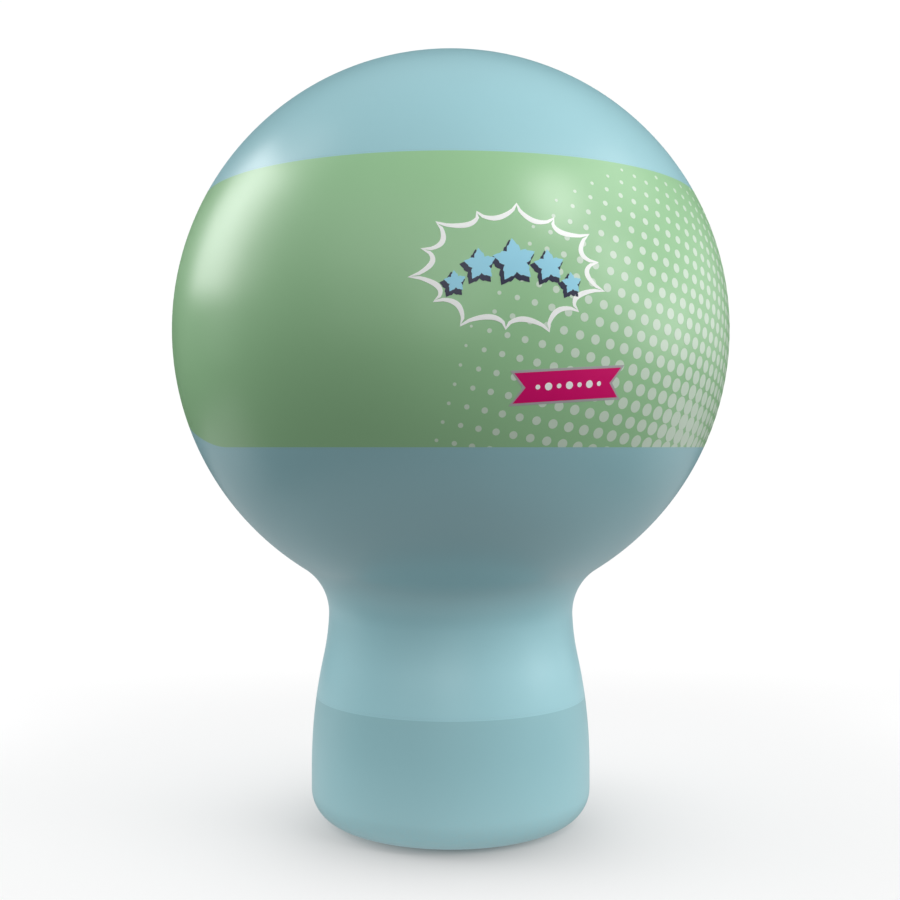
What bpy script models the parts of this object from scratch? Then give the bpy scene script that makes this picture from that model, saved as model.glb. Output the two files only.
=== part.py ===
"""A fan-inflated advertising balloon, three metres tall, in metres.

It is a ball on a waisted neck and a round base, sewn from cloth rings and held up by the air that a
small fan in the back of the base keeps blowing in. +Z is up and the origin is the middle of the print
that the base leaves on the floor. The front faces -Y; the fan and the zip are at the back, towards +Y.
"""

from math import atan2, cos, hypot, pi, radians, sin

import bmesh
import bpy
from mathutils import Euler, Vector

# The ball
BALL_RADIUS = 1.0859
BALL_HALF_HEIGHT = 1.0898
BALL_CENTRE_HEIGHT = 1.9102
BAND_TOP_LEAN = 27.82
BAND_BOTTOM_LEAN = -24.24
BALL_END_LEAN = -57.9

# The neck, which narrows to a waist and flares into the base
WAIST_RADIUS = 0.4831
WAIST_HEIGHT = 0.8102
NECK_FILLET = 0.2131
FLARE_LEAN = 2.32
FLARE_RADIUS = 0.9346
HIP_LEAN = 12.46
HIP_RADIUS = 1.9683
SEAM_LEAN = 7.91

# The foot of the base
FOOT_TOP_HEIGHT = 0.1214
FOOT_WIDTH = 0.1237

# Cloth, and how finely its rings are turned
CLOTH = 0.010
GAP = 0.0003
SIDES = 48

# The fan, blowing along Y through the back of the base
FAN_HEIGHT = 0.295
DUCT_RADIUS = 0.130
DUCT_WALL = 0.004
DUCT_BACK = 0.640
DUCT_FRONT = 0.400
FLANGE_RADIUS = 0.152
FLANGE_DEPTH = 0.012
PATCH_RADIUS = 0.172
TRIM = 0.002
CUFF_CLOTH = 0.004
STRAP_WIDTH = 0.025
STRAP_THICKNESS = 0.002

# The fan's wheel and its motor
BLADES = 7
TIP_RADIUS = 0.120
HUB_RADIUS = 0.042
HUB_FRONT = 0.520
HUB_BACK = 0.575
SHAFT_RADIUS = 0.006
MOTOR_RADIUS = 0.048
MOTOR_FRONT = 0.420
MOTOR_BACK = 0.510
BRACKET_FRONT = 0.440
BRACKET_DEPTH = 0.022

# The guard's wires
WIRE = 0.004
GUARD_RINGS = (0.030, 0.055, 0.080, 0.105, 0.132)
GUARD_BARS = 4

# The switch box, which stands on an ear of the flange
EAR_HEIGHT = 0.160
BOX_WIDTH = 0.084
BOX_HEIGHT = 0.044
BOX_DEPTH = 0.046

# The zip down the back of the neck
ZIP_TOP = 1.060
ZIP_BOTTOM = 0.525
TAPE_HALF_WIDTH = 0.021
TEETH_HALF_WIDTH = 0.004
TEETH_HEIGHT = 0.0025
SLIDER_HEIGHT = 0.590
SLIDER_SIZE = Vector((0.016, 0.005, 0.030))
PULL_SIZE = Vector((0.010, 0.002, 0.042))


def clear_scene():
    for thing in list(bpy.data.objects):
        bpy.data.objects.remove(thing)


def material(name, srgb, roughness, metallic=0.0):
    """A plain finish, from a colour given as the eye sees it, each channel 0 to 255."""
    made = bpy.data.materials.new(name)
    made.use_nodes = True
    shader = made.node_tree.nodes["Principled BSDF"]
    linear = [(channel / 255) ** 2.2 for channel in srgb]
    shader.inputs["Base Color"].default_value = (*linear, 1)
    shader.inputs["Roughness"].default_value = roughness
    shader.inputs["Metallic"].default_value = metallic
    return made


def add(name, mesh, finish=None):
    """A new object, shaded smooth on its round stretches. With no finish it is a guide or a cutter."""
    made = bpy.data.objects.new(name, mesh)
    bpy.context.collection.objects.link(made)
    if finish:
        mesh.materials.append(finish)
    else:
        made.hide_render = True
        made.display_type = "WIRE"
    return made


def from_bmesh(name, shape, finish):
    bmesh.ops.recalc_face_normals(shape, faces=shape.faces)
    mesh = bpy.data.meshes.new(name)
    shape.to_mesh(mesh)
    shape.free()
    mesh.shade_smooth()
    mesh.set_sharp_from_angle(angle=radians(35))
    return add(name, mesh, finish)


def turned(name, profile, finish=None, sides=SIDES):
    """A profile of (radius, height) points, its outer side top to bottom, turned about the object's Z."""
    mesh = bpy.data.meshes.new(name)
    points = [(radius, 0, height) for radius, height in profile]
    edges = [(i, (i + 1) % len(points)) for i in range(len(points))]
    if profile[0][0] == profile[-1][0] == 0:
        edges.pop()
    mesh.from_pydata(points, edges, [])
    made = add(name, mesh, finish)
    screw = made.modifiers.new("turn", "SCREW")
    screw.steps = screw.render_steps = sides
    screw.use_merge_vertices = True
    screw.merge_threshold = 0.00005
    screw.use_smooth_shade = True
    return made


def tube(name, inner, outer, low, high, finish=None, sides=SIDES):
    return turned(name, [(outer, high), (outer, low), (inner, low), (inner, high)], finish, sides)


def rod(name, radius, low, high, finish=None, sides=SIDES):
    return turned(name, [(0, high), (radius, high), (radius, low), (0, low)], finish, sides)


def block(name, low, high, finish=None, bevel=0.0):
    """A box between two corners, with its edges chamfered."""
    low, high = Vector(low), Vector(high)
    shape = bmesh.new()
    bmesh.ops.create_cube(shape, size=1)
    bmesh.ops.scale(shape, vec=high - low, verts=shape.verts)
    bmesh.ops.translate(shape, vec=(low + high) / 2, verts=shape.verts)
    if bevel:
        bmesh.ops.bevel(shape, geom=shape.edges, offset=bevel, segments=1, affect="EDGES")
    return from_bmesh(name, shape, finish)


def lofted(name, sections, finish=None):
    """A closed skin over loops that all have the same number of points."""
    shape = bmesh.new()
    rings = [[shape.verts.new(point) for point in section] for section in sections]
    for one, two in zip(rings, rings[1:]):
        for i in range(len(one)):
            j = (i + 1) % len(one)
            shape.faces.new((one[i], one[j], two[j], two[i]))
    shape.faces.new(rings[0])
    shape.faces.new(rings[-1])
    return from_bmesh(name, shape, finish)


def cut(target, operation, *others):
    for other in others:
        boolean = target.modifiers.new(operation.lower(), "BOOLEAN")
        boolean.operation = operation
        boolean.object = other


def along_fan(*pieces):
    """Stands pieces that were turned about Z on the fan's axis: their height becomes Y."""
    for piece in pieces:
        piece.location.z = FAN_HEIGHT
        piece.rotation_euler = Euler((-pi / 2, 0, 0))


def turned_on_fan(angle):
    """The rotation of a piece that lies along the fan's axis and is turned about it."""
    return (Euler((-pi / 2, 0, 0)).to_matrix() @ Euler((0, 0, angle)).to_matrix()).to_euler()


def arc(centre, half_width, half_height, first, last, steps):
    """Stations (radius, height, outward radius, outward height) of an arc, between two leans in degrees.

    The lean is how far the outward side tips up from level. Negative halves give an arc that curves in.
    """
    stations = []
    for step in range(steps + 1):
        lean = radians(first + (last - first) * step / steps)
        out, up = abs(half_height) * cos(lean), abs(half_width) * sin(lean)
        length = hypot(out, up)
        radius = centre[0] + half_width * cos(lean)
        height = centre[1] + half_height * sin(lean)
        stations.append((radius, height, out / length, up / length))
    return stations


def centre_on(station, radius):
    """The centre of an arc of this radius that carries on from a station."""
    return station[0] - radius * station[2], station[1] - radius * station[3]


def balloon_outline():
    """{ring of cloth: its stations, top to bottom}. Each ring starts where the one above it ends."""
    ball = (0, BALL_CENTRE_HEIGHT)
    halves = (BALL_RADIUS, BALL_HALF_HEIGHT)
    rings = {
        "crown_cap": arc(ball, *halves, 90, BAND_TOP_LEAN, 8),
        "printed_band": arc(ball, *halves, BAND_TOP_LEAN, BAND_BOTTOM_LEAN, 7),
        "lower_bowl": arc(ball, *halves, BAND_BOTTOM_LEAN, BALL_END_LEAN, 5),
    }
    waist = (WAIST_RADIUS + NECK_FILLET, WAIST_HEIGHT)
    neck = rings["lower_bowl"][-1:]
    for first, last, radius, steps in (
        (BALL_END_LEAN, FLARE_LEAN, -NECK_FILLET, 7),
        (FLARE_LEAN, HIP_LEAN, -FLARE_RADIUS, 2),
        (HIP_LEAN, SEAM_LEAN, HIP_RADIUS, 2),
    ):
        centre = waist if radius == -NECK_FILLET else centre_on(neck[-1], radius)
        neck += arc(centre, radius, radius, first, last, steps)[1:]
    rings["neck_panel"] = neck
    skirt = arc(centre_on(neck[-1], HIP_RADIUS), HIP_RADIUS, HIP_RADIUS, SEAM_LEAN, 0, 3)
    foot = (skirt[-1][0] - FOOT_WIDTH, FOOT_TOP_HEIGHT)
    skirt += arc(foot, FOOT_WIDTH, FOOT_TOP_HEIGHT, 0, -90, 7)
    rings["base_skirt"] = skirt
    return rings


def between(stations, top, bottom):
    """The stations from one height down to another, with new ones at both ends."""

    def at(height):
        for one, two in zip(stations, stations[1:]):
            if two[1] <= height <= one[1]:
                share = (one[1] - height) / (one[1] - two[1])
                return tuple(a + (b - a) * share for a, b in zip(one, two))
        return stations[0] if height > stations[0][1] else stations[-1]

    inside = [station for station in stations if bottom < station[1] < top]
    return [at(top), *inside, at(bottom)]


def offset(stations, distance):
    """The stations' (radius, height) points, moved out along the cloth's outward side."""
    return [(max(r + out * distance, 0), z + up * distance) for r, z, out, up in stations]


def shell(name, stations, inner, outer, finish=None):
    """A ring of cloth between two distances from the balloon's outline."""
    profile = offset(stations, outer) + offset(stations, inner)[::-1]
    return turned(name, profile, finish)


def envelope(rings, finishes):
    """The cloth rings. Seams leave a hair's gap, and the skirt has a round hole for the fan."""
    made = {}
    for name, stations in rings.items():
        top = stations[0][1] if name == "crown_cap" else stations[0][1] - GAP / 2
        bottom = stations[-1][1] if name == "base_skirt" else stations[-1][1] + GAP / 2
        made[name] = shell(name, between(stations, top, bottom), -CLOTH, 0, finishes[name])
    hole = rod("fan_hole", DUCT_RADIUS + GAP, DUCT_FRONT, DUCT_BACK)
    along_fan(hole)
    cut(made["base_skirt"], "DIFFERENCE", hole)
    floor_radius = rings["base_skirt"][-1][0] - GAP
    rod("base_floor", floor_radius, 0, CLOTH, finishes["base_skirt"])
    crown = between(rings["crown_cap"], rings["crown_cap"][0][1], rings["crown_cap"][1][1])
    shell("crown_patch", crown, GAP, GAP + TRIM, finishes["crown_cap"])


def intake(rings, cloth, webbing, metal):
    """The cloth collar that ties the fan into the skirt: a round patch, a sleeve and a buckled strap."""
    skirt = rings["base_skirt"]
    wall = between(skirt, skirt[0][1], FOOT_TOP_HEIGHT)
    patch = shell("intake_patch", wall, GAP, GAP + TRIM, cloth)
    outside = rod("patch_outside", PATCH_RADIUS, DUCT_FRONT, DUCT_BACK)
    inside = rod("patch_inside", DUCT_RADIUS + GAP, DUCT_FRONT, DUCT_BACK)

    sleeve_outside = DUCT_RADIUS + GAP + CUFF_CLOTH
    sleeve_back = DUCT_BACK - FLANGE_DEPTH - GAP
    cuff = tube("intake_cuff", DUCT_RADIUS + GAP, sleeve_outside, DUCT_FRONT, sleeve_back, cloth)
    inner_side = [(0, wall[-1][1])]
    skirt_body = turned("skirt_body", offset(wall, 2 * GAP + TRIM) + inner_side + [(0, wall[0][1])])

    strap_inside = sleeve_outside + GAP
    strap_back = sleeve_back - STRAP_THICKNESS
    strap_front = strap_back - STRAP_WIDTH
    strap_outside = strap_inside + STRAP_THICKNESS
    strap = tube("cuff_strap", strap_inside, strap_outside, strap_front, strap_back, webbing)
    along_fan(outside, inside, cuff, strap)
    cut(patch, "INTERSECT", outside)
    cut(patch, "DIFFERENCE", inside)
    cut(cuff, "DIFFERENCE", skirt_body)

    reach = strap_outside + GAP
    buckle_height, buckle_half_width, margin = 0.009, 0.022, 0.004
    buckle = block(
        "cuff_buckle",
        (-buckle_half_width, strap_front - margin, reach),
        (buckle_half_width, strap_back - TRIM, reach + buckle_height),
        metal,
        bevel=0.0015,
    )
    buckle.location.z = FAN_HEIGHT
    buckle.rotation_euler.y = radians(52)


def fan_housing(plastic):
    """The duct, its flange with a rounded mouth, and the ear that carries the switch box."""
    inner = DUCT_RADIUS - DUCT_WALL
    flange_front = DUCT_BACK - FLANGE_DEPTH
    mouth = 0.005
    housing = turned(
        "fan_housing",
        [
            (FLANGE_RADIUS - mouth, DUCT_BACK),
            (FLANGE_RADIUS, DUCT_BACK - mouth),
            (FLANGE_RADIUS, flange_front),
            (DUCT_RADIUS, flange_front),
            (DUCT_RADIUS, DUCT_FRONT),
            (inner, DUCT_FRONT),
            (inner, DUCT_BACK - mouth),
            (inner + mouth / 3, DUCT_BACK - mouth / 3),
            (inner + mouth, DUCT_BACK),
        ],
        plastic,
    )
    along_fan(housing)
    low = (-BOX_WIDTH / 2, flange_front, FAN_HEIGHT + DUCT_RADIUS + mouth)
    high = (BOX_WIDTH / 2, DUCT_BACK, FAN_HEIGHT + EAR_HEIGHT)
    cut(housing, "UNION", block("housing_ear", low, high))
    return housing


def fan_guard(metal):
    """Concentric wires welded to bars that cross in the middle, under a round boss."""
    back, front = DUCT_BACK + GAP + WIRE, DUCT_BACK + GAP
    boss_radius, bar_end = 0.018, GUARD_RINGS[-1] + WIRE / 2
    guard = rod("fan_guard", boss_radius, front, back, metal, sides=24)
    wires = []
    for index, radius in enumerate(GUARD_RINGS):
        slim = WIRE / 2
        profile = [
            (radius, back),
            (radius + slim, front + slim),
            (radius, front),
            (radius - slim, front + slim),
        ]
        wires.append(turned(f"guard_ring_{index}", profile, sides=32))
    for index in range(GUARD_BARS):
        slim = WIRE * 0.36
        low = (-bar_end, -slim, front + WIRE / 2 - slim)
        wires.append(block(f"guard_bar_{index}", low, (bar_end, slim, front + WIRE / 2 + slim)))
    along_fan(guard, *wires)
    for index, bar in enumerate(wires[-GUARD_BARS:]):
        bar.rotation_euler = turned_on_fan(index * pi / GUARD_BARS)
    cut(guard, "UNION", *wires)


def blade(name, angle):
    """One cambered blade, steeper at its root, in the frame whose Z is the fan's axis."""
    thickness, camber, middle = 0.0035, 0.004, (HUB_FRONT + HUB_BACK) / 2
    sections = []
    for radius, chord, pitch in (
        (HUB_RADIUS - 0.004, 0.050, 48),
        (0.080, 0.066, 34),
        (TIP_RADIUS, 0.074, 24),
    ):
        loop = []
        for side, along in ((1, -0.5), (1, 0), (1, 0.5), (-1, 0.5), (-1, 0), (-1, -0.5)):
            across = side * thickness / 2 + camber * (1 - (2 * along) ** 2)
            lean = radians(pitch)
            sideways = along * chord * cos(lean) - across * sin(lean)
            height = along * chord * sin(lean) + across * cos(lean)
            turned_by = angle + sideways / radius
            loop.append((radius * cos(turned_by), radius * sin(turned_by), middle + height))
        sections.append(loop)
    return lofted(name, sections)


def fan_rotor(plastic):
    """The wheel: a domed hub bored for the shaft, with seven blades."""
    bore, bore_depth, dome = SHAFT_RADIUS + 0.0004, 0.026, 0.010
    rotor = turned(
        "fan_rotor",
        [
            (0, HUB_BACK),
            (HUB_RADIUS * 0.55, HUB_BACK - dome * 0.2),
            (HUB_RADIUS * 0.9, HUB_BACK - dome * 0.6),
            (HUB_RADIUS, HUB_BACK - dome),
            (HUB_RADIUS, HUB_FRONT),
            (bore, HUB_FRONT),
            (bore, HUB_FRONT + bore_depth),
            (0, HUB_FRONT + bore_depth),
        ],
        plastic,
        sides=32,
    )
    along_fan(rotor)
    blades = [blade(f"blade_{index}", index * 2 * pi / BLADES) for index in range(BLADES)]
    along_fan(*blades)
    cut(rotor, "UNION", *blades)


def fan_motor(metal, steel):
    """The motor with its shaft, held in the duct by a clamp with four arms."""
    edge, shaft_end = 0.006, HUB_FRONT + 0.024
    motor = turned(
        "fan_motor",
        [
            (0, shaft_end),
            (SHAFT_RADIUS, shaft_end),
            (SHAFT_RADIUS, MOTOR_BACK),
            (MOTOR_RADIUS - edge, MOTOR_BACK),
            (MOTOR_RADIUS, MOTOR_BACK - edge),
            (MOTOR_RADIUS, MOTOR_FRONT + edge),
            (MOTOR_RADIUS - edge, MOTOR_FRONT),
            (0, MOTOR_FRONT),
        ],
        metal,
        sides=32,
    )
    back = BRACKET_FRONT + BRACKET_DEPTH
    clamp = MOTOR_RADIUS + GAP
    clamp_wall, arm_half_width = 0.004, 0.002
    bracket = tube("motor_bracket", clamp, clamp + clamp_wall, BRACKET_FRONT, back, steel)
    reach = (DUCT_RADIUS - DUCT_WALL) * cos(pi / SIDES) - GAP
    for quarter in range(4):
        low = (clamp + clamp_wall / 2, -arm_half_width, BRACKET_FRONT)
        arm = block(f"bracket_arm_{quarter}", low, (reach, arm_half_width, back))
        along_fan(arm)
        arm.rotation_euler = turned_on_fan(pi / 4 + quarter * pi / 2)
        cut(bracket, "UNION", arm)
    along_fan(motor, bracket)


def switch_box(plastic, dark):
    """A weatherproof box on the flange's ear, with a mains inlet and a rocker switch in its face."""
    bottom = FAN_HEIGHT + EAR_HEIGHT + GAP
    low = Vector((-BOX_WIDTH / 2, DUCT_BACK - BOX_DEPTH, bottom))
    high = Vector((BOX_WIDTH / 2, DUCT_BACK, bottom + BOX_HEIGHT))
    block("switch_box", low, high, plastic, bevel=0.003)
    middle = bottom + BOX_HEIGHT / 2
    face = DUCT_BACK + GAP

    inlet_depth, recess, rim = 0.008, 0.005, 0.004
    left, right, half_height = -0.034, -0.002, 0.014
    inlet_low = (left, face, middle - half_height)
    inlet_high = (right, face + inlet_depth, middle + half_height)
    inlet = block("power_inlet", inlet_low, inlet_high, dark, bevel=0.001)
    hole_low = (left + rim, face + inlet_depth - recess, middle - half_height + rim)
    hole_high = (right - rim, face + 2 * inlet_depth, middle + half_height - rim)
    cut(inlet, "DIFFERENCE", block("inlet_recess", hole_low, hole_high))

    switch_depth = 0.006
    left, right, half_height = 0.010, 0.030, 0.013
    switch_low = (left, face, middle - half_height)
    switch_high = (right, face + switch_depth, middle + half_height)
    block("rocker_switch", switch_low, switch_high, dark, bevel=0.001)


def skin_strip(name, stations, half_width, inner, outer, finish):
    """A strip that follows the cloth down the back, between two distances from it."""
    sections = []
    for radius, height, out, up in stations:
        half = half_width / radius
        loop = []
        for distance, sides in ((outer, (-1, 0, 1)), (inner, (1, 0, -1))):
            for side in sides:
                reach = radius + out * distance
                angle = side * half
                loop.append((reach * sin(angle), reach * cos(angle), height + up * distance))
        sections.append(loop)
    return lofted(name, sections, finish)


def zip_down_the_back(rings, webbing, metal, cloth):
    """The zip that lets the air out: tape, teeth, a slider near its foot with a pull, and a hood on top."""
    whole = rings["lower_bowl"] + rings["neck_panel"][1:]
    tape = between(whole, ZIP_TOP, ZIP_BOTTOM)
    skin_strip("zip_tape", tape, TAPE_HALF_WIDTH, GAP, GAP + TRIM, webbing)
    low, high = 2 * GAP + TRIM, 2 * GAP + TRIM + TEETH_HEIGHT
    hood_height, margin = 0.040, 0.012
    teeth = between(whole, ZIP_TOP - hood_height - GAP, ZIP_BOTTOM + margin)
    skin_strip("zip_teeth", teeth, TEETH_HALF_WIDTH, low, high, webbing)
    hood = between(whole, ZIP_TOP, ZIP_TOP - hood_height)
    skin_strip("zip_hood", hood, TAPE_HALF_WIDTH, low, high, cloth)

    radius, height, out, up = between(whole, SLIDER_HEIGHT, SLIDER_HEIGHT)[0]
    lean = atan2(up, out)
    reach = high + GAP
    slider = block("zip_slider", -SLIDER_SIZE / 2, SLIDER_SIZE / 2, metal, bevel=0.001)
    away = reach + SLIDER_SIZE.y / 2
    slider.location = (0, radius + out * away, height + up * away)
    slider.rotation_euler.x = lean
    pull = block("zip_pull", -PULL_SIZE / 2, PULL_SIZE / 2, metal, bevel=0.0006)
    away = reach + SLIDER_SIZE.y + GAP + PULL_SIZE.y / 2
    drop = PULL_SIZE.z / 2 - SLIDER_SIZE.z / 4
    pull.location = (0, radius + out * away + up * drop, height + up * away - out * drop)
    pull.rotation_euler.x = lean


def care_label(rings, cloth):
    """A blank label sewn beside the zip's foot, on the neck."""
    whole = rings["neck_panel"]
    stations = between(whole, 0.600, 0.545)
    label = skin_strip("care_label", stations, 0.020, GAP, GAP + TRIM / 2, cloth)
    label.rotation_euler.z = radians(-9)


def main():
    clear_scene()
    light_blue = material("light blue cloth", (160, 204, 214), 0.45)
    green = material("green print", (152, 196, 152), 0.45)
    blue = material("base cloth", (130, 170, 178), 0.5)
    webbing = material("grey webbing", (70, 84, 88), 0.8)
    white = material("white tape", (225, 228, 226), 0.7)
    dark = material("black plastic", (34, 36, 38), 0.4)
    grey = material("grey plastic", (96, 102, 104), 0.45)
    metal = material("bright metal", (190, 192, 192), 0.3, 1.0)
    steel = material("plated steel", (150, 152, 152), 0.4, 1.0)

    rings = balloon_outline()
    finishes = {
        "crown_cap": light_blue,
        "printed_band": green,
        "lower_bowl": light_blue,
        "neck_panel": light_blue,
        "base_skirt": blue,
    }
    envelope(rings, finishes)
    intake(rings, blue, webbing, metal)
    fan_housing(grey)
    fan_guard(metal)
    fan_rotor(dark)
    fan_motor(dark, steel)
    switch_box(grey, dark)
    zip_down_the_back(rings, webbing, metal, light_blue)
    care_label(rings, white)


main()
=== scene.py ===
# %% [markdown]
# # A fan-inflated advertising balloon
# The real thing is a cloth skin with no frame: rings of coated polyester are sewn into a ball, a waisted
# neck and a flat-bottomed base, and a small fan in the back of the base blows all the time. What makes it
# look real is a very even, taut surface with a soft plastic gloss, and crisp printing. So each ring is
# turned from the exact outline of the CAD part, only much finer, and the print is laid on it as thin ink.

# %% Load the frame
from math import ceil, cos, hypot, pi, radians, sin, sqrt

import bmesh
import bpy
from mathutils import Matrix, Vector


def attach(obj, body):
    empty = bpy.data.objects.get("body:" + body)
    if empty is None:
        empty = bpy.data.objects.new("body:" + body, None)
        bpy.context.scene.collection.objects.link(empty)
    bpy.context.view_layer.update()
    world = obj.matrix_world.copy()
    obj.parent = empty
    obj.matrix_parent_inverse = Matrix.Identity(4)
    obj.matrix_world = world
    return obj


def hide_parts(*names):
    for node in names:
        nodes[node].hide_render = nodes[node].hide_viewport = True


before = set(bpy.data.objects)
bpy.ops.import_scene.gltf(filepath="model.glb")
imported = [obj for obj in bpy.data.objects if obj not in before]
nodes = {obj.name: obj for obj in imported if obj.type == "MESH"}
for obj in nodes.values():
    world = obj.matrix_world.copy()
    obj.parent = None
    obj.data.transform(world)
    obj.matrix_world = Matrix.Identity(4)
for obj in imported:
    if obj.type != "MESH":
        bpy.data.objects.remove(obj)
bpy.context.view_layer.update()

# %% [markdown]
# ## The camera
# The picture was taken with the lens almost level and about as high as the balloon's print is low, so the
# lower edge of the green band is a straight line. A 50 mm lens five metres away gives the same ellipses
# at the top of the band and at the seam of the base. A hair of downward tilt sets the horizon.

# %% Camera
LENS_MM = 50
SENSOR_MM = 36
CAMERA_AT = Vector((-0.0028, -4.987, 1.4627))
TILT_DOWN = 0.124

camera_data = bpy.data.cameras.new("camera")
camera_data.lens = LENS_MM
camera_data.sensor_width = SENSOR_MM
camera = bpy.data.objects.new("camera", camera_data)
camera.location = CAMERA_AT
camera.rotation_euler = (radians(90 - TILT_DOWN), 0, 0)
bpy.context.collection.objects.link(camera)
bpy.context.scene.camera = camera
print("camera", [round(x, 3) for x in camera.location], "tilted down", TILT_DOWN, "degrees")

# %% [markdown]
# ## The studio
# The picture has a white room and a pale floor with a soft shadow close round the base. The tall bright
# streak on the left of the ball is a softbox standing to its left and a little behind it. A weaker one
# stands on the right, and the room's front wall glows. Two low lamps beside the floor light the neck's
# sides. What the camera sees of the room and the floor is kept apart from what they throw on the cloth, as
# a photographer does with flags: the Light Path node tells the two apart.

# %% Studio helpers
FLOOR_DROP = 0.001
FLOOR_REACH = 60.0
WHITE_SEEN = 1.02
scene = bpy.context.scene
scene.view_settings.view_transform = "Standard"
scene.view_settings.look = "None"


class Wiring:
    """Short ways to add and join nodes in one tree."""

    def __init__(self, tree):
        self.nodes, self.links = tree.nodes, tree.links

    def put(self, socket, value):
        if hasattr(value, "is_output"):
            self.links.new(value, socket)
        else:
            socket.default_value = value

    def add(self, kind, **values):
        """A node; a value's key is a property of the node or the name of an input, with _ for a space."""
        node = self.nodes.new(kind)
        for key, value in values.items():
            if hasattr(node, key):
                setattr(node, key, value)
            else:
                self.put(node.inputs[key.replace("_", " ")], value)
        return node

    def maths(self, operation, *values, clamp=False):
        node = self.nodes.new("ShaderNodeMath")
        node.operation = operation
        node.use_clamp = clamp
        for socket, value in zip(node.inputs, values):
            self.put(socket, value)
        return node.outputs[0]

    def mix(self, share, one, two, blend="MIX"):
        node = self.nodes.new("ShaderNodeMix")
        node.data_type = "RGBA"
        node.blend_type = blend
        first_colour, second_colour, result = 6, 7, 2
        self.put(node.inputs[0], share)
        self.put(node.inputs[first_colour], one)
        self.put(node.inputs[second_colour], two)
        return node.outputs[result]

    def step(self, value, low, high, smooth=False):
        """0 up to low, 1 from high on, and a ramp between them."""
        node = self.nodes.new("ShaderNodeMapRange")
        node.interpolation_type = "SMOOTHSTEP" if smooth else "LINEAR"
        self.put(node.inputs["Value"], value)
        self.put(node.inputs["From Min"], low)
        self.put(node.inputs["From Max"], high)
        return node.outputs["Result"]

    def blend(self, share, one, two):
        """Two shaders mixed."""
        node = self.nodes.new("ShaderNodeMixShader")
        for socket, value in zip(node.inputs, (share, one, two)):
            self.put(socket, value)
        return node.outputs[0]


def wiring_of(holder):
    """The helper for the emptied node tree of a material or a world."""
    holder.use_nodes = True
    holder.node_tree.nodes.clear()
    return Wiring(holder.node_tree)


def by_ray(wire, camera, diffuse, glossy):
    """One shader for what the camera sees, one for what soft light and one for what gloss picks up."""
    path = wire.add("ShaderNodeLightPath")
    thrown = wire.blend(path.outputs["Is Glossy Ray"], diffuse, glossy)
    return wire.blend(path.outputs["Is Camera Ray"], thrown, camera)


# %% Floor
FLOOR_PAINT = 0.3
FLOOR_GLOW = 0.645
# The SHADOW values shape a painted shadow: the floor's glow is dimmed round the base, centred a little in
# front of it.
SHADOW_DEPTH = 0.33
SHADOW_FROM = 0.45
SHADOW_WIDTH = 0.30
SHADOW_FORWARD = 0.16
FLOOR_FADE = (2.0, 4.5)
FLOOR_RINGS = {
    "diffuse": {(0.0, 0.75): 0.84, (0.75, 1.2): 0.90, (1.2, 2.0): 0.26, (2.0, 5.0): 0.28},
    "glossy": {(0.0, 0.75): 0.33, (0.75, 1.2): 0.56, (1.2, 2.0): 0.63, (2.0, 8.0): 0.50},
}
FRONT_ENDS = 2.0


def studio_floor():
    """White far out, with a painted shadow round the base. Its light on the cloth comes mostly from close by.
    """
    mesh = bpy.data.meshes.new("studio_floor")
    r = FLOOR_REACH
    mesh.from_pydata([(-r, -r, 0), (r, -r, 0), (r, r, 0), (-r, r, 0)], [], [(0, 1, 2, 3)])
    floor = bpy.data.objects.new("studio_floor", mesh)
    floor.location.z = -FLOOR_DROP
    bpy.context.collection.objects.link(floor)
    finish = bpy.data.materials.new("studio_floor")
    wire = wiring_of(finish)
    place = wire.add("ShaderNodeTexCoord").outputs["Object"]
    away = wire.add("ShaderNodeVectorMath", operation="LENGTH", Vector=place).outputs["Value"]
    shifted = wire.add("ShaderNodeVectorMath", Vector=place)
    shifted.inputs[1].default_value = (0, SHADOW_FORWARD, 0)
    shaded = wire.add("ShaderNodeVectorMath", operation="LENGTH", Vector=shifted.outputs[0]).outputs["Value"]
    # Painted shadow: the glow dims most near the base and fades outwards.
    depth = wire.maths("DIVIDE", wire.maths("SUBTRACT", SHADOW_FROM, shaded), SHADOW_WIDTH)
    painted_shadow = wire.maths("MULTIPLY", wire.maths("EXPONENT", depth), SHADOW_DEPTH)
    shaded_glow = wire.maths("SUBTRACT", FLOOR_GLOW, painted_shadow)
    glow = wire.add("ShaderNodeEmission", Strength=wire.maths("MAXIMUM", shaded_glow, 0))
    paint = wire.add("ShaderNodeBsdfDiffuse", Color=(FLOOR_PAINT, FLOOR_PAINT, FLOOR_PAINT, 1))
    near = wire.add("ShaderNodeAddShader")
    wire.put(near.inputs[0], glow.outputs[0])
    wire.put(near.inputs[1], paint.outputs[0])
    white = wire.add("ShaderNodeEmission", Strength=WHITE_SEEN)
    seen = wire.blend(wire.step(away, *FLOOR_FADE, smooth=True), near.outputs[0], white.outputs[0])
    behind = wire.step(wire.add("ShaderNodeSeparateXYZ", Vector=place).outputs["Y"], -0.3, 0.3, smooth=True)
    thrown = {}
    for kind, rings in FLOOR_RINGS.items():
        strength = 0.0
        for (inner, outer), thrown_glow in rings.items():
            within = wire.step(away, outer * 1.15, outer * 0.85, smooth=True)
            if inner:
                beyond = wire.step(away, inner * 0.85, inner * 1.15, smooth=True)
                within = wire.maths("MULTIPLY", within, beyond)
            if inner >= FRONT_ENDS:
                within = wire.maths("MULTIPLY", within, behind)
            strength = wire.maths("MULTIPLY_ADD", within, thrown_glow, strength)
        thrown[kind] = wire.add("ShaderNodeEmission", Strength=strength).outputs[0]
    wire.add("ShaderNodeOutputMaterial", Surface=by_ray(wire, seen, **thrown))
    mesh.materials.append(finish)


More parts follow.
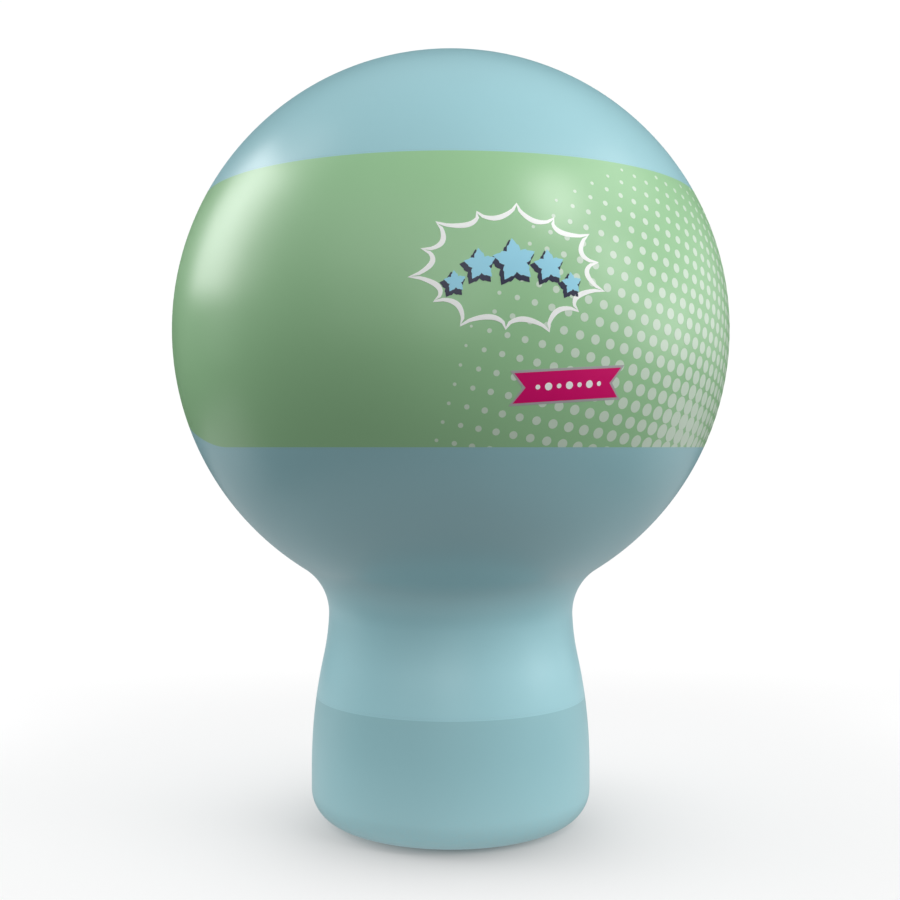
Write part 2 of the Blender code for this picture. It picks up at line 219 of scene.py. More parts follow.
# %% Lamps and room
def softbox(name, azimuth, elevation, distance, width, height, watts, aim=(0, 0, 1.6), mirrored=True):
    """A rectangular lamp seen from aim at this azimuth (0 is the camera's side, + to the right).

    One that isn't mirrored lights the cloth but leaves no bright spot in its gloss.
    """
    target = Vector(aim)
    az, el = radians(azimuth), radians(elevation)
    away = Vector((sin(az) * cos(el), -cos(az) * cos(el), sin(el)))
    data = bpy.data.lights.new(name, "AREA")
    data.shape = "RECTANGLE"
    data.size, data.size_y = width, height
    data.energy = watts
    lamp = bpy.data.objects.new(name, data)
    lamp.location = target + away * distance
    lamp.rotation_euler = (-away).to_track_quat("-Z", "Y").to_euler()
    lamp.visible_camera = False
    lamp.visible_glossy = mirrored
    bpy.context.collection.objects.link(lamp)
    return lamp


WALLS = {
    "diffuse": {"low": {-90: 0.15}, "middle": {0: 1.52, -90: 0.90, 90: 2.19}, "high": {}},
    "glossy": {
        "low": {0: 0.18, -90: 0.16, 90: 0.95},
        "middle": {0: 1.05, -90: 0.41, 90: 0.09},
        "high": {None: 0.26},
    },
}


def white_room():
    """Pure white to the camera. Its walls throw the most light from above the camera."""
    world = bpy.data.worlds.new("studio")
    scene.world = world
    wire = wiring_of(world)
    direction = wire.add("ShaderNodeTexCoord").outputs["Generated"]
    across, depth, height = wire.add("ShaderNodeSeparateXYZ", Vector=direction).outputs
    turn = wire.maths("ARCTAN2", across, wire.maths("MULTIPLY", depth, -1))
    raised, ceiling = wire.step(height, 0.25, 0.45, smooth=True), wire.step(height, 0.65, 0.85, smooth=True)
    bands = {
        "low": wire.maths("SUBTRACT", 1, raised),
        "middle": wire.maths("SUBTRACT", raised, ceiling),
        "high": ceiling,
    }
    thrown = {}
    for kind, levels in WALLS.items():
        strength = 0.0
        for band, walls in levels.items():
            for azimuth, glow in walls.items():
                lit = bands[band]
                if azimuth is not None:
                    facing = wire.maths("COSINE", wire.maths("SUBTRACT", turn, radians(azimuth)))
                    wall = wire.step(facing, cos(radians(58)), cos(radians(32)), smooth=True)
                    lit = wire.maths("MULTIPLY", lit, wall)
                strength = wire.maths("MULTIPLY_ADD", lit, glow, strength)
        thrown[kind] = wire.add("ShaderNodeBackground", Color=(1, 1, 1, 1), Strength=strength).outputs[0]
    seen = wire.add("ShaderNodeBackground", Color=(1, 1, 1, 1), Strength=WHITE_SEEN)
    wire.add("ShaderNodeOutputWorld", Surface=by_ray(wire, seen.outputs[0], **thrown))


studio_floor()
white_room()
TALL, SQUARE, WIDE = (5.5, 1.45, 3.3), (5.5, 1.45, 1.65), (6.5, 3.2, 3.2)
LAMPS = [
    softbox("left_rear", -110, 30, *TALL, 52),
    softbox("left", -95, 30, *TALL, 70),
    softbox("left_low", -92, 5, *SQUARE, 3),
    softbox("left_front", -80, 30, *TALL, 22),
    softbox("right_front_high", 45, 42, *SQUARE, 62),
    softbox("right_front", 60, 22, *SQUARE, 31),
    softbox("right_low", 82, 5, 5.5, 2.9, 1.65, 33),
    softbox("right_high", 80, 45, 5.5, 2.9, 1.65, 20),
    softbox("front_left", -30, 12, *WIDE, 15),
    softbox("front", 0, 12, *WIDE, 38),
    softbox("left_high", -85, 52, *SQUARE, 9),
    softbox("left_floor", -105, -13, 3.6, 2.4, 0.6, 13, aim=(0, 0, 1.15), mirrored=False),
    softbox("right_floor", 105, -13, 3.6, 2.4, 0.6, 14, aim=(0, 0, 1.15), mirrored=False),
    softbox("rear", 180, 4, 6.0, 3.5, 2.5, 110, aim=(0, 0, 1.2)),
]
print(len(LAMPS), "lamps,", round(sum(lamp.data.energy for lamp in LAMPS)), "W in all")

# %% [markdown]
# ## Small finishes shared by many materials
# Each effect that several materials use is a shader node group: a slow change of colour over the cloth, the
# weave, the fine grain of moulded plastic, and rubbed metal. A group hands out a colour, a mask or a
# normal, and the material that uses it keeps its own Principled shader.

# %% Node group helpers
MM = 0.001


def new_group(name, inputs, outputs):
    """A shader node group with these sockets: {name: (type, default)} in, {name: type} out."""
    group = bpy.data.node_groups.new(name, "ShaderNodeTree")
    for label, (kind, default) in inputs.items():
        socket = group.interface.new_socket(label, in_out="INPUT", socket_type=kind)
        socket.default_value = default
    for label, kind in outputs.items():
        group.interface.new_socket(label, in_out="OUTPUT", socket_type=kind)
    return group, group.nodes.new("NodeGroupInput"), group.nodes.new("NodeGroupOutput")


def colour(red, green, blue):
    """A linear colour from one given as the eye sees it, 0 to 255."""
    channels = [channel / 255 for channel in (red, green, blue)]
    return (*[x / 12.92 if x <= 0.04045 else ((x + 0.055) / 1.055) ** 2.4 for x in channels], 1)


# %% Slow colour change and dust
def mottle_group():
    """Slow, faint patches of lighter and darker, and dust that gathers near the floor."""
    group, given, out = new_group(
        "mottle",
        {
            "Colour": ("NodeSocketColor", (0.5, 0.5, 0.5, 1)),
            "Patch": ("NodeSocketFloat", 4.0),
            "Depth": ("NodeSocketFloat", 0.03),
            "Dust": ("NodeSocketFloat", 0.1),
        },
        {"Colour": "NodeSocketColor", "Mask": "NodeSocketFloat"},
    )
    wire = Wiring(group)
    place = wire.add("ShaderNodeTexCoord").outputs["Object"]
    patches = wire.add("ShaderNodeTexNoise", Vector=place, Scale=given.outputs["Patch"], Detail=3.0)
    sway = wire.maths("SUBTRACT", patches.outputs["Fac"], 0.5)
    lift = wire.maths("MULTIPLY_ADD", sway, wire.maths("MULTIPLY", given.outputs["Depth"], 2), 1)
    toned = wire.add("ShaderNodeVectorMath", operation="SCALE")
    wire.put(toned.inputs[0], given.outputs["Colour"])
    wire.put(toned.inputs["Scale"], lift)
    height = wire.add("ShaderNodeSeparateXYZ", Vector=place).outputs["Z"]
    low = wire.maths("SUBTRACT", 1, wire.step(height, 0.0, 0.22, smooth=True))
    specks = wire.add("ShaderNodeTexNoise", Vector=place, Scale=60.0, Detail=4.0)
    settled = wire.maths("MULTIPLY", low, wire.step(specks.outputs["Fac"], 0.35, 0.75))
    dusty = wire.maths("MULTIPLY", settled, given.outputs["Dust"], clamp=True)
    final = wire.mix(dusty, toned.outputs[0], colour(176, 172, 164))
    wire.put(out.inputs["Colour"], final)
    wire.put(out.inputs["Mask"], patches.outputs["Fac"])
    return group


MOTTLE = mottle_group()

# %% [markdown]
# The cloth is a plain weave under a thin clear coat of plastic, so the threads only just show as a fine
# relief. A wave texture across and one along, in the cloth's own measure, give over and under; the mesh
# carries that measure as a UV map in metres.


# %% Weave
def weave_group():
    """A plain weave's relief, its threads this far apart in metres."""
    group, given, out = new_group(
        "weave",
        {
            "Thread": ("NodeSocketFloat", 0.9 * MM),
            "Relief": ("NodeSocketFloat", 0.03 * MM),
            "Strength": ("NodeSocketFloat", 0.3),
        },
        {"Mask": "NodeSocketFloat", "Normal": "NodeSocketVector"},
    )
    wire = Wiring(group)
    measure = wire.add("ShaderNodeSeparateXYZ", Vector=wire.add("ShaderNodeUVMap", uv_map="cloth").outputs[0])
    turns = []
    for axis in "XY":
        half_turns = wire.maths("MULTIPLY", measure.outputs[axis], pi)
        turns.append(wire.maths("SINE", wire.maths("DIVIDE", half_turns, given.outputs["Thread"])))
    over = wire.maths("MULTIPLY", *turns)
    mask = wire.maths("MULTIPLY_ADD", over, 0.5, 0.5)
    height = wire.maths("MULTIPLY", mask, given.outputs["Relief"])
    bump = wire.add("ShaderNodeBump", Height=height, Strength=given.outputs["Strength"], Distance=1.0)
    wire.put(out.inputs["Mask"], mask)
    wire.put(out.inputs["Normal"], bump.outputs["Normal"])
    return group


WEAVE = weave_group()


# %% Grain of moulded plastic, and rubbed metal
def grain_group():
    """Fine pebbling for moulded plastic and worn paint, with a mask of rubbed, brighter spots."""
    group, given, out = new_group(
        "grain",
        {
            "Scale": ("NodeSocketFloat", 900.0),
            "Relief": ("NodeSocketFloat", 0.05 * MM),
            "Rub": ("NodeSocketFloat", 0.5),
        },
        {"Mask": "NodeSocketFloat", "Normal": "NodeSocketVector"},
    )
    wire = Wiring(group)
    place = wire.add("ShaderNodeTexCoord").outputs["Object"]
    pebbles = wire.add("ShaderNodeTexNoise", Vector=place, Scale=given.outputs["Scale"], Detail=2.0)
    height = wire.maths("MULTIPLY", pebbles.outputs["Fac"], given.outputs["Relief"])
    bump = wire.add("ShaderNodeBump", Height=height, Strength=0.5, Distance=1.0)
    smears = wire.add("ShaderNodeTexNoise", Vector=place, Scale=38.0, Detail=5.0, Roughness=0.65)
    rubbed = wire.maths("MULTIPLY", wire.step(smears.outputs["Fac"], 0.5, 0.7), given.outputs["Rub"])
    wire.put(out.inputs["Mask"], rubbed)
    wire.put(out.inputs["Normal"], bump.outputs["Normal"])
    return group


GRAIN = grain_group()
print("node groups:", [group.name for group in (MOTTLE, WEAVE, GRAIN)])

# %% [markdown]
# ## Materials
# One function makes the cloths, which differ in colour, gloss and thread. The gloss is that of a thin plastic
# film: a middling roughness, so lamps show as broad soft patches.


# %% Cloth materials
def placed(wire, group, **values):
    node = wire.nodes.new("ShaderNodeGroup")
    node.node_tree = group
    for label, value in values.items():
        wire.put(node.inputs[label], value)
    return node


def blank_material(name):
    made = bpy.data.materials.new(name)
    wire = wiring_of(made)
    shader = wire.add("ShaderNodeBsdfPrincipled")
    wire.add("ShaderNodeOutputMaterial", Surface=shader.outputs[0])
    return made, wire, shader


def cloth(name, tint, roughness, thread=0.9, relief=0.03, dust=0.1, depth=0.02, coat=0.0, tint_node=None):
    """Coated cloth. tint_node, if given, makes the colour in place of a plain tint."""
    made, wire, shader = blank_material(name)
    base = tint_node(wire) if tint_node else tint
    patches = placed(wire, MOTTLE, Colour=base, Patch=3.0, Depth=depth, Dust=dust)
    weave = placed(wire, WEAVE, Thread=thread * MM, Relief=relief * MM)
    wire.put(shader.inputs["Base Color"], patches.outputs["Colour"])
    wire.put(shader.inputs["Normal"], weave.outputs["Normal"])
    shade = wire.maths("MULTIPLY_ADD", patches.outputs["Mask"], 0.06, roughness - 0.03)
    wire.put(shader.inputs["Roughness"], shade)
    shader.inputs["Coat Weight"].default_value = coat
    shader.inputs["Coat Roughness"].default_value = 0.3
    return made


LIGHT_BLUE = colour(158, 204, 212)
GREEN = colour(154, 201, 153)
LIGHT_BLUE_CLOTH = cloth("light_blue_cloth", LIGHT_BLUE, 0.30)
BASE_CLOTH = cloth("base_cloth", colour(145, 189, 196), 0.34, thread=1.2, relief=0.05, dust=0.12)
FLOOR_CLOTH = cloth("floor_cloth", colour(84, 92, 96), 0.7, thread=1.6, relief=0.1, dust=0.3)
LABEL_CLOTH = cloth("label_cloth", colour(226, 229, 227), 0.6, thread=0.4, dust=0.0)

# %% [markdown]
# The band's cloth is printed green in front and is left light blue behind. The photograph shows one end of
# the print: on the far left its lower edge climbs away from the seam. The mask for it is made from the
# angle round the ball and the lean up it, both in degrees, and a smooth minimum rounds the corners.

# %% The printed ground of the band
BALL_RADIUS = 1.0859
BALL_HALF_HEIGHT = 1.0898
BALL_CENTRE = 1.9102
BAND_TOP = 27.82
BAND_BOTTOM = -24.24
PRINT_CLIMB_FROM = -56.5
PRINT_CLIMB = 0.24
PRINT_BEND = 8.0
PRINT_LEFT = -96.0
PRINT_RIGHT = 98.0
PRINT_CORNER = 9.0
AVERAGE_COS = 0.92


def green_print(wire):
    place = wire.add("ShaderNodeSeparateXYZ", Vector=wire.add("ShaderNodeTexCoord").outputs["Object"])
    across, depth, height = (place.outputs[axis] for axis in "XYZ")
    to_degrees = 180 / pi
    turn = wire.maths("ARCTAN2", across, wire.maths("MULTIPLY", depth, -1))
    azimuth = wire.maths("MULTIPLY", turn, to_degrees)
    rise = wire.maths("DIVIDE", wire.maths("SUBTRACT", height, BALL_CENTRE), BALL_HALF_HEIGHT)
    lean = wire.maths("MULTIPLY", wire.maths("ARCSINE", rise), to_degrees)
    past_climb = wire.maths("MULTIPLY", wire.maths("SUBTRACT", PRINT_CLIMB_FROM, azimuth), AVERAGE_COS)
    climb = wire.maths("MULTIPLY", wire.maths("SMOOTH_MAX", past_climb, 0, PRINT_BEND), PRINT_CLIMB)
    seam_allowance, ink_edge = 0.1, 0.05
    above = wire.maths("SUBTRACT", wire.maths("SUBTRACT", lean, BAND_BOTTOM - seam_allowance), climb)
    below = wire.maths("SUBTRACT", BAND_TOP + seam_allowance, lean)
    inside_left = wire.maths("MULTIPLY", wire.maths("SUBTRACT", azimuth, PRINT_LEFT), AVERAGE_COS)
    inside_right = wire.maths("MULTIPLY", wire.maths("SUBTRACT", PRINT_RIGHT, azimuth), AVERAGE_COS)
    ends = wire.maths("MINIMUM", inside_left, inside_right)
    upright = wire.maths("SMOOTH_MIN", above, below, PRINT_CORNER)
    inside = wire.maths("SMOOTH_MIN", upright, ends, PRINT_CORNER)
    mask = wire.step(inside, 0.0, ink_edge)
    return wire.mix(mask, LIGHT_BLUE, GREEN)


BAND_CLOTH = cloth("printed_band_cloth", GREEN, 0.30, tint_node=green_print)
print("cloths:", [finish.name for finish in (LIGHT_BLUE_CLOTH, BAND_CLOTH, BASE_CLOTH, FLOOR_CLOTH)])

# %% [markdown]
# Inks, webbing, plastics and metals. Ink is a plain finish in another colour, a little less glossy than the
# cloth. Metals get a mask of rubbed spots, and plastics a pebbled grain.


# %% Inks, webbing, plastics and metals
def ink(name, tint, roughness=0.34):
    """Printed colour: a little less glossy than bare cloth."""
    made, wire, shader = blank_material(name)
    patches = placed(wire, MOTTLE, Colour=tint, Patch=9.0, Depth=0.02, Dust=0.0)
    wire.put(shader.inputs["Base Color"], patches.outputs["Colour"])
    gloss = wire.maths("MULTIPLY_ADD", patches.outputs["Mask"], 0.08, roughness - 0.04)
    wire.put(shader.inputs["Roughness"], gloss)
    return made


def ribbed(name, tint, dark, rib=1.6, roughness=0.75):
    """Webbing or tape: ribs across it, with painted shade between them where the weave's relief is low."""
    made, wire, shader = blank_material(name)
    weave = placed(wire, WEAVE, Thread=rib * MM, Relief=0.3 * MM, Strength=0.6)
    worn = placed(wire, MOTTLE, Colour=tint, Patch=25.0, Depth=0.1, Dust=0.2)
    # Painted shade: the mask that raises the ribs also tints the low grooves with the darker colour.
    wire.put(shader.inputs["Base Color"], wire.mix(weave.outputs["Mask"], dark, worn.outputs["Colour"]))
    wire.put(shader.inputs["Normal"], weave.outputs["Normal"])
    shader.inputs["Roughness"].default_value = roughness
    return made


def hard(
    name, tint, worn_tint, roughness, metallic=0.0, grain=900.0, relief=0.05, rub=0.4, worn_roughness=0.15,
):
    """Plastic, paint or metal, with grain and rubbed spots of another tint and gloss."""
    made, wire, shader = blank_material(name)
    surface = placed(wire, GRAIN, Scale=grain, Relief=relief * MM, Rub=rub)
    dusty = placed(wire, MOTTLE, Colour=tint, Patch=12.0, Depth=0.08, Dust=0.1)
    rubbed = wire.mix(surface.outputs["Mask"], dusty.outputs["Colour"], worn_tint)
    wire.put(shader.inputs["Base Color"], rubbed)
    wire.put(shader.inputs["Normal"], surface.outputs["Normal"])
    gloss = wire.maths("MULTIPLY_ADD", surface.outputs["Mask"], worn_roughness, roughness)
    wire.put(shader.inputs["Roughness"], gloss)
    shader.inputs["Metallic"].default_value = metallic
    return made


PALE_INK = ink("pale_ink", colour(206, 224, 206))
WHITE_INK = ink("white_ink", colour(250, 252, 250))
SKY_INK = ink("sky_ink", colour(150, 214, 236))
NAVY_INK = ink("navy_ink", colour(34, 36, 66))
MAGENTA_INK = ink("magenta_ink", colour(214, 16, 108))
SILVER_INK = ink("silver_ink", colour(176, 172, 176))
WEBBING = ribbed("grey_webbing", colour(78, 90, 94), colour(40, 48, 52))
ZIP_TAPE_CLOTH = ribbed("zip_tape_cloth", colour(96, 118, 124), colour(56, 72, 78), rib=0.8)
THREAD = ribbed("thread", colour(176, 208, 214), colour(120, 150, 158), rib=0.3, roughness=0.6)
GREY_PLASTIC = hard("grey_plastic", colour(104, 110, 112), colour(132, 136, 137), 0.45)
BLACK_PLASTIC = hard("black_plastic", colour(34, 36, 38), colour(58, 60, 62), 0.38)
NYLON = hard("nylon", colour(66, 80, 86), colour(104, 116, 120), 0.35, grain=500.0)
ZINC = hard(
    "bright_zinc", colour(196, 198, 199), colour(150, 152, 153), 0.28, metallic=1.0, grain=250.0, relief=0.02,
)
STEEL = hard("plated_steel", colour(160, 162, 163), colour(118, 120, 122), 0.36, metallic=1.0, grain=120.0)
PAINTED = hard("painted_motor", colour(50, 53, 56), colour(84, 87, 90), 0.42, rub=0.3)
BRASS = hard("brass_pins", colour(208, 176, 106), colour(168, 138, 84), 0.3, metallic=1.0)
print(len(bpy.data.materials), "materials")

# %% [markdown]
# ## Shapes turned from an outline
# The skin is a surface of revolution, so every ring of cloth is an outline turned about the upright axis.
# The outline is kept as stations: a point and the direction that faces out of the cloth there. An offset
# along it gives the cloth's two faces. The rows next to a ring's ends are very short, so that the shading
# of one ring runs into the next with no crease.

# %% The balloon's outline
BALL_END = -57.9
WAIST_RADIUS = 0.4831
WAIST_HEIGHT = 0.8102
NECK_FILLET = 0.2131
FLARE_LEAN = 2.32
FLARE_RADIUS = 0.9346
HIP_LEAN = 12.46
HIP_RADIUS = 1.9683
SEAM_LEAN = 7.91
FOOT_TOP = 0.1214
FOOT_WIDTH = 0.1237
CLOTH = 0.010
FINE_STEP = 1.5


def arc(centre, half_width, half_height, first, last, step=FINE_STEP):
    """Stations (radius, height, outward radius, outward height) of an arc between two leans in degrees."""
    steps = max(2, ceil(abs(last - first) / step))
    hair = 0.004
    shares = [0, hair, *[i / steps for i in range(1, steps)], 1 - hair, 1]
    stations = []
    for share in shares:
        lean = radians(first + (last - first) * share)
        out, up = abs(half_height) * cos(lean), abs(half_width) * sin(lean)
        length = hypot(out, up)
        radius = centre[0] + half_width * cos(lean)
        stations.append((radius, centre[1] + half_height * sin(lean), out / length, up / length))
    return stations


def centre_on(station, radius):
    """The centre of an arc of this radius that carries on from a station."""
    return station[0] - radius * station[2], station[1] - radius * station[3]


def balloon_outline():
    """{ring of cloth: its stations, top to bottom}."""
    ball, halves = (0, BALL_CENTRE), (BALL_RADIUS, BALL_HALF_HEIGHT)
    rings = {
        "crown_cap": arc(ball, *halves, 90, BAND_TOP),
        "printed_band": arc(ball, *halves, BAND_TOP, BAND_BOTTOM),
        "lower_bowl": arc(ball, *halves, BAND_BOTTOM, BALL_END),
    }
    waist = (WAIST_RADIUS + NECK_FILLET, WAIST_HEIGHT)
    neck = rings["lower_bowl"][-1:]
    for first, last, radius, step in (
        (BALL_END, FLARE_LEAN, -NECK_FILLET, 3),
        (FLARE_LEAN, HIP_LEAN, -FLARE_RADIUS, 1.5),
        (HIP_LEAN, SEAM_LEAN, HIP_RADIUS, 0.8),
    ):
        centre = waist if radius == -NECK_FILLET else centre_on(neck[-1], radius)
        neck += arc(centre, radius, radius, first, last, step)[1:]
    rings["neck_panel"] = neck
    skirt = arc(centre_on(neck[-1], HIP_RADIUS), HIP_RADIUS, HIP_RADIUS, SEAM_LEAN, 0, 0.8)
    foot = (skirt[-1][0] - FOOT_WIDTH, FOOT_TOP)
    skirt += arc(foot, FOOT_WIDTH, FOOT_TOP, 0, -90, 6)[1:]
    rings["base_skirt"] = skirt
    return rings


OUTLINE = balloon_outline()
for ring, stations in OUTLINE.items():
    (top_radius, top, *_), (low_radius, low, *_) = stations[0], stations[-1]
    print(f"{ring}: radius {top_radius:.3f} at {top:.3f} m down to radius {low_radius:.3f} at {low:.3f} m")

# %% [markdown]
# A turned mesh is made by hand here, because that gives every face its place in the cloth's own measure,
# metres round and metres down, which the weave needs.


# %% Mesh helpers
def lathe(profile, sides):
    """A closed profile of (radius, height) turned about Z: points, faces and each corner's cloth measure."""
    points, faces, measures, rows = [], [], [], []
    middle = sum(radius for radius, _ in profile) / len(profile)
    for radius, height in profile:
        at_pole = radius < 1e-6
        rows.append([len(points)] * sides if at_pole else list(range(len(points), len(points) + sides)))
        for i in range(1 if at_pole else sides):
            turn = 2 * pi * i / sides
            points.append((radius * cos(turn), radius * sin(turn), height))
    lengths = [0]
    for one, two in zip(profile, profile[1:] + profile[:1]):
        lengths.append(lengths[-1] + hypot(two[0] - one[0], two[1] - one[1]))
    for row, (one, two) in enumerate(zip(rows, rows[1:] + rows[:1])):
        for i in range(sides):
            j = (i + 1) % sides
            found = {}
            corners = ((one[i], i, row), (one[j], i + 1, row), (two[j], i + 1, row + 1), (two[i], i, row + 1))
            for index, column, along in corners:
                found.setdefault(index, (2 * pi * column / sides * middle, lengths[along]))
            if len(found) > 2:
                faces.append(list(found))
                measures.append(list(found.values()))
    return points, faces, measures


def piece(name, shape, finish, body="balloon", bend=35):
    """A shown piece from (points, faces) or (points, faces, measures), shaded smooth up to this bend."""
    points, faces, *measured = shape
    mesh = bpy.data.meshes.new(name)
    mesh.from_pydata(points, [], faces)
    if measured:
        layer = mesh.uv_layers.new(name="cloth")
        layer.data.foreach_set("uv", [x for face in measured[0] for corner in face for x in corner])
    face_outward(mesh)
    mesh.shade_smooth()
    mesh.set_sharp_from_angle(angle=radians(bend))
    mesh.materials.append(finish)
    made = bpy.data.objects.new(name, mesh)
    bpy.context.collection.objects.link(made)
    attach(made, body)
    return made


def face_outward(mesh):
    shape = bmesh.new()
    shape.from_mesh(mesh)
    bmesh.ops.recalc_face_normals(shape, faces=shape.faces)
    shape.to_mesh(mesh)
    shape.free()


def joined(*shapes):
    """Several (points, faces) or (points, faces, measures) as one."""
    points, faces, measures = [], [], []
    for shape in shapes:
        start = len(points)
        points += shape[0]
        faces += [[index + start for index in face] for face in shape[1]]
        measures += shape[2] if len(shape) > 2 else [[(0, 0)] * len(face) for face in shape[1]]
    return points, faces, measures


def moved(shape, matrix):
    points, *rest = shape
    return ([tuple(matrix @ Vector(point)) for point in points], *rest)


def circle(radius, sides):
    """Points round a circle, as (x, y)."""
    return [(radius * cos(2 * pi * k / sides), radius * sin(2 * pi * k / sides)) for k in range(sides)]


def offset(stations, distance):
    return [(max(r + out * distance, 0), z + up * distance) for r, z, out, up in stations]


# %% [markdown]
# ## The skin
# Five rings of cloth make the skin, from the crown to the foot, and a disc closes it below. Real ones are cut
# from gores; air pressure pulls them so tight that each seam is only a line. They are built as closed shells
# as thick as the CAD part's.

# %% Rings of the skin
SIDES = 216


def cloth_ring(name, finish):
    stations = OUTLINE[name]
    shape = lathe(offset(stations, 0) + offset(stations, -CLOTH)[::-1], SIDES)
    made = piece(f"{name}_cloth", shape, finish)
    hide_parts(name)
    return made


cloth_ring("crown_cap", LIGHT_BLUE_CLOTH)
cloth_ring("printed_band", BAND_CLOTH)
cloth_ring("lower_bowl", LIGHT_BLUE_CLOTH)
cloth_ring("neck_panel", LIGHT_BLUE_CLOTH)
skirt = cloth_ring("base_skirt", BASE_CLOTH)

# %% [markdown]
# ## The print
# Ink could be painted by a shader, but crisp edges would then need a very large picture in any export. So
# every printed shape is a skin of ink half a millimetre thick that follows the ball. A shape is drawn on
# the ball in degrees, as the angle round it and the lean up it, and small shapes are drawn flat about
# their own centre, where a degree is the same length both ways.

# %% Ink that follows the ball
INK_LOW = -0.3 * MM
INK_HIGH = 0.35 * MM


def on_ball(azimuth, lean, out=0.0):
    """The point of the ball at this angle round it and lean up it, moved out along its normal."""
    az, up = radians(azimuth), radians(lean)
    normal = Vector((BALL_HALF_HEIGHT * cos(up), BALL_RADIUS * sin(up))).normalized()
    radius = BALL_RADIUS * cos(up) + normal.x * out
    return (radius * sin(az), -radius * cos(az), BALL_CENTRE + BALL_HALF_HEIGHT * sin(up) + normal.y * out)


def about(centre, x, y):
    """The (azimuth, lean) of a point drawn flat, in degrees, about a centre on the ball."""
    return centre[0] + x / cos(radians(centre[1])), centre[1] + y


def inked_star(centre, outline, rings, layer=0):
    """A thin body over an outline of (x, y) degrees that its centre can see all of."""
    points, faces, sides = [], [], len(outline)
    rows = []
    for out in (INK_LOW, INK_HIGH + layer * 0.25 * MM):
        points.append(on_ball(*centre, out))
        rows.append([len(points) - 1])
        for ring in range(1, rings + 1):
            share = ring / rings
            rows.append(list(range(len(points), len(points) + sides)))
            points += [on_ball(*about(centre, x * share, y * share), out) for x, y in outline]
    half = rings + 1
    for start in (0, half):
        hub = rows[start][0]
        for i in range(sides):
            j = (i + 1) % sides
            faces.append([hub, rows[start + 1][i], rows[start + 1][j]])
            for one, two in zip(rows[start + 1:start + rings], rows[start + 2:start + half]):
                faces.append([one[i], one[j], two[j], two[i]])
    low, high = rows[rings], rows[-1]
    for i in range(sides):
        j = (i + 1) % sides
        faces.append([low[i], low[j], high[j], high[i]])
    return points, faces


def inked_line(path, closed, layer=1):
    """A thin body along a path of (azimuth, lean, half width), all in degrees."""
    left, right = [], []
    count = len(path)
    for i, (azimuth, lean, half) in enumerate(path):
        before = path[i - 1] if closed or i else path[i]
        after = path[(i + 1) % count] if closed or i + 1 < count else path[i]
        run = (after[0] - before[0]) * cos(radians(lean)), after[1] - before[1]
        length = hypot(*run) or 1
        side = -run[1] / length * half, run[0] / length * half
        left.append(about((azimuth, lean), *side))
        right.append(about((azimuth, lean), -side[0], -side[1]))
    points, faces = [], []
    for row in (left, right):
        for out in (INK_LOW, INK_HIGH + layer * 0.25 * MM):
            points += [on_ball(*place, out) for place in row]
    low_left, high_left, low_right, high_right = (range(k * count, (k + 1) * count) for k in range(4))
    loops = (high_left, high_right, low_right, low_left)
    for i in range(count if closed else count - 1):
        j = (i + 1) % count
        for one, two in zip(loops, loops[1:] + loops[:1]):
            faces.append([one[i], one[j], two[j], two[i]])
    if not closed:
        faces += [[loop[0] for loop in loops], [loop[-1] for loop in loops]]
    return points, faces


# %% [markdown]
# The dots are a halftone: a skewed lattice whose dots are largest low on the right and shrink with the
# distance from there, until the cloth shows alone. Where neighbours would overlap, each is cut straight
# half-way to the next, so they join into a net and leave small four-pointed gaps.

# %% Halftone dots
LATTICE_START = (35.93, -1.5)
LATTICE_ACROSS = (3.0, -0.671)
LATTICE_UP = (0.782, 2.88)
LATTICE_BEND = ((-0.0016, 0.0058), (0.0034, -0.0234), (-0.0181, -0.0091))
LARGEST_DOT_AT = (53.6, -20.7)
INK_MOST = 1.78
INK_FADE = 0.034
SMALLEST_DOT = 0.24
SWELL = 0.32
SWELL_REACH = 14.0
FADE_FROM, FADE_TO = 70.0, 94.0


def dot_place(i, j):
    """The (azimuth, lean) of a dot of the lattice."""
    terms = (i, LATTICE_ACROSS), (j, LATTICE_UP), *zip((i * i, i * j, j * j), LATTICE_BEND)
    across, lean = (LATTICE_START[k] + sum(times * step[k] for times, step in terms) for k in (0, 1))
    return across / cos(radians(lean)), lean


def dot_radius(azimuth, lean):
    """The ink thins evenly with the distance from the largest dot, so a dot's area does too."""
    away = (azimuth - LARGEST_DOT_AT[0]) * cos(radians(lean)) * 0.948, lean - LARGEST_DOT_AT[1]
    distance = hypot(*away)
    radius = sqrt(max(INK_MOST - INK_FADE * distance, 0)) + SWELL * max(1 - distance / SWELL_REACH, 0)
    return radius * min(max((FADE_TO - azimuth) / (FADE_TO - FADE_FROM), 0), 1)


def clipped(outline, side, reach):
    """The part of a convex outline that lies less than reach along the direction side."""
    kept = []
    for one, two in zip(outline, outline[1:] + outline[:1]):
        past_one, past_two = (point[0] * side[0] + point[1] * side[1] - reach for point in (one, two))
        if past_one <= 0:
            kept.append(one)
        if past_one * past_two < 0:
            share = past_one / (past_one - past_two)
            kept.append((one[0] + (two[0] - one[0]) * share, one[1] + (two[1] - one[1]) * share))
    return kept


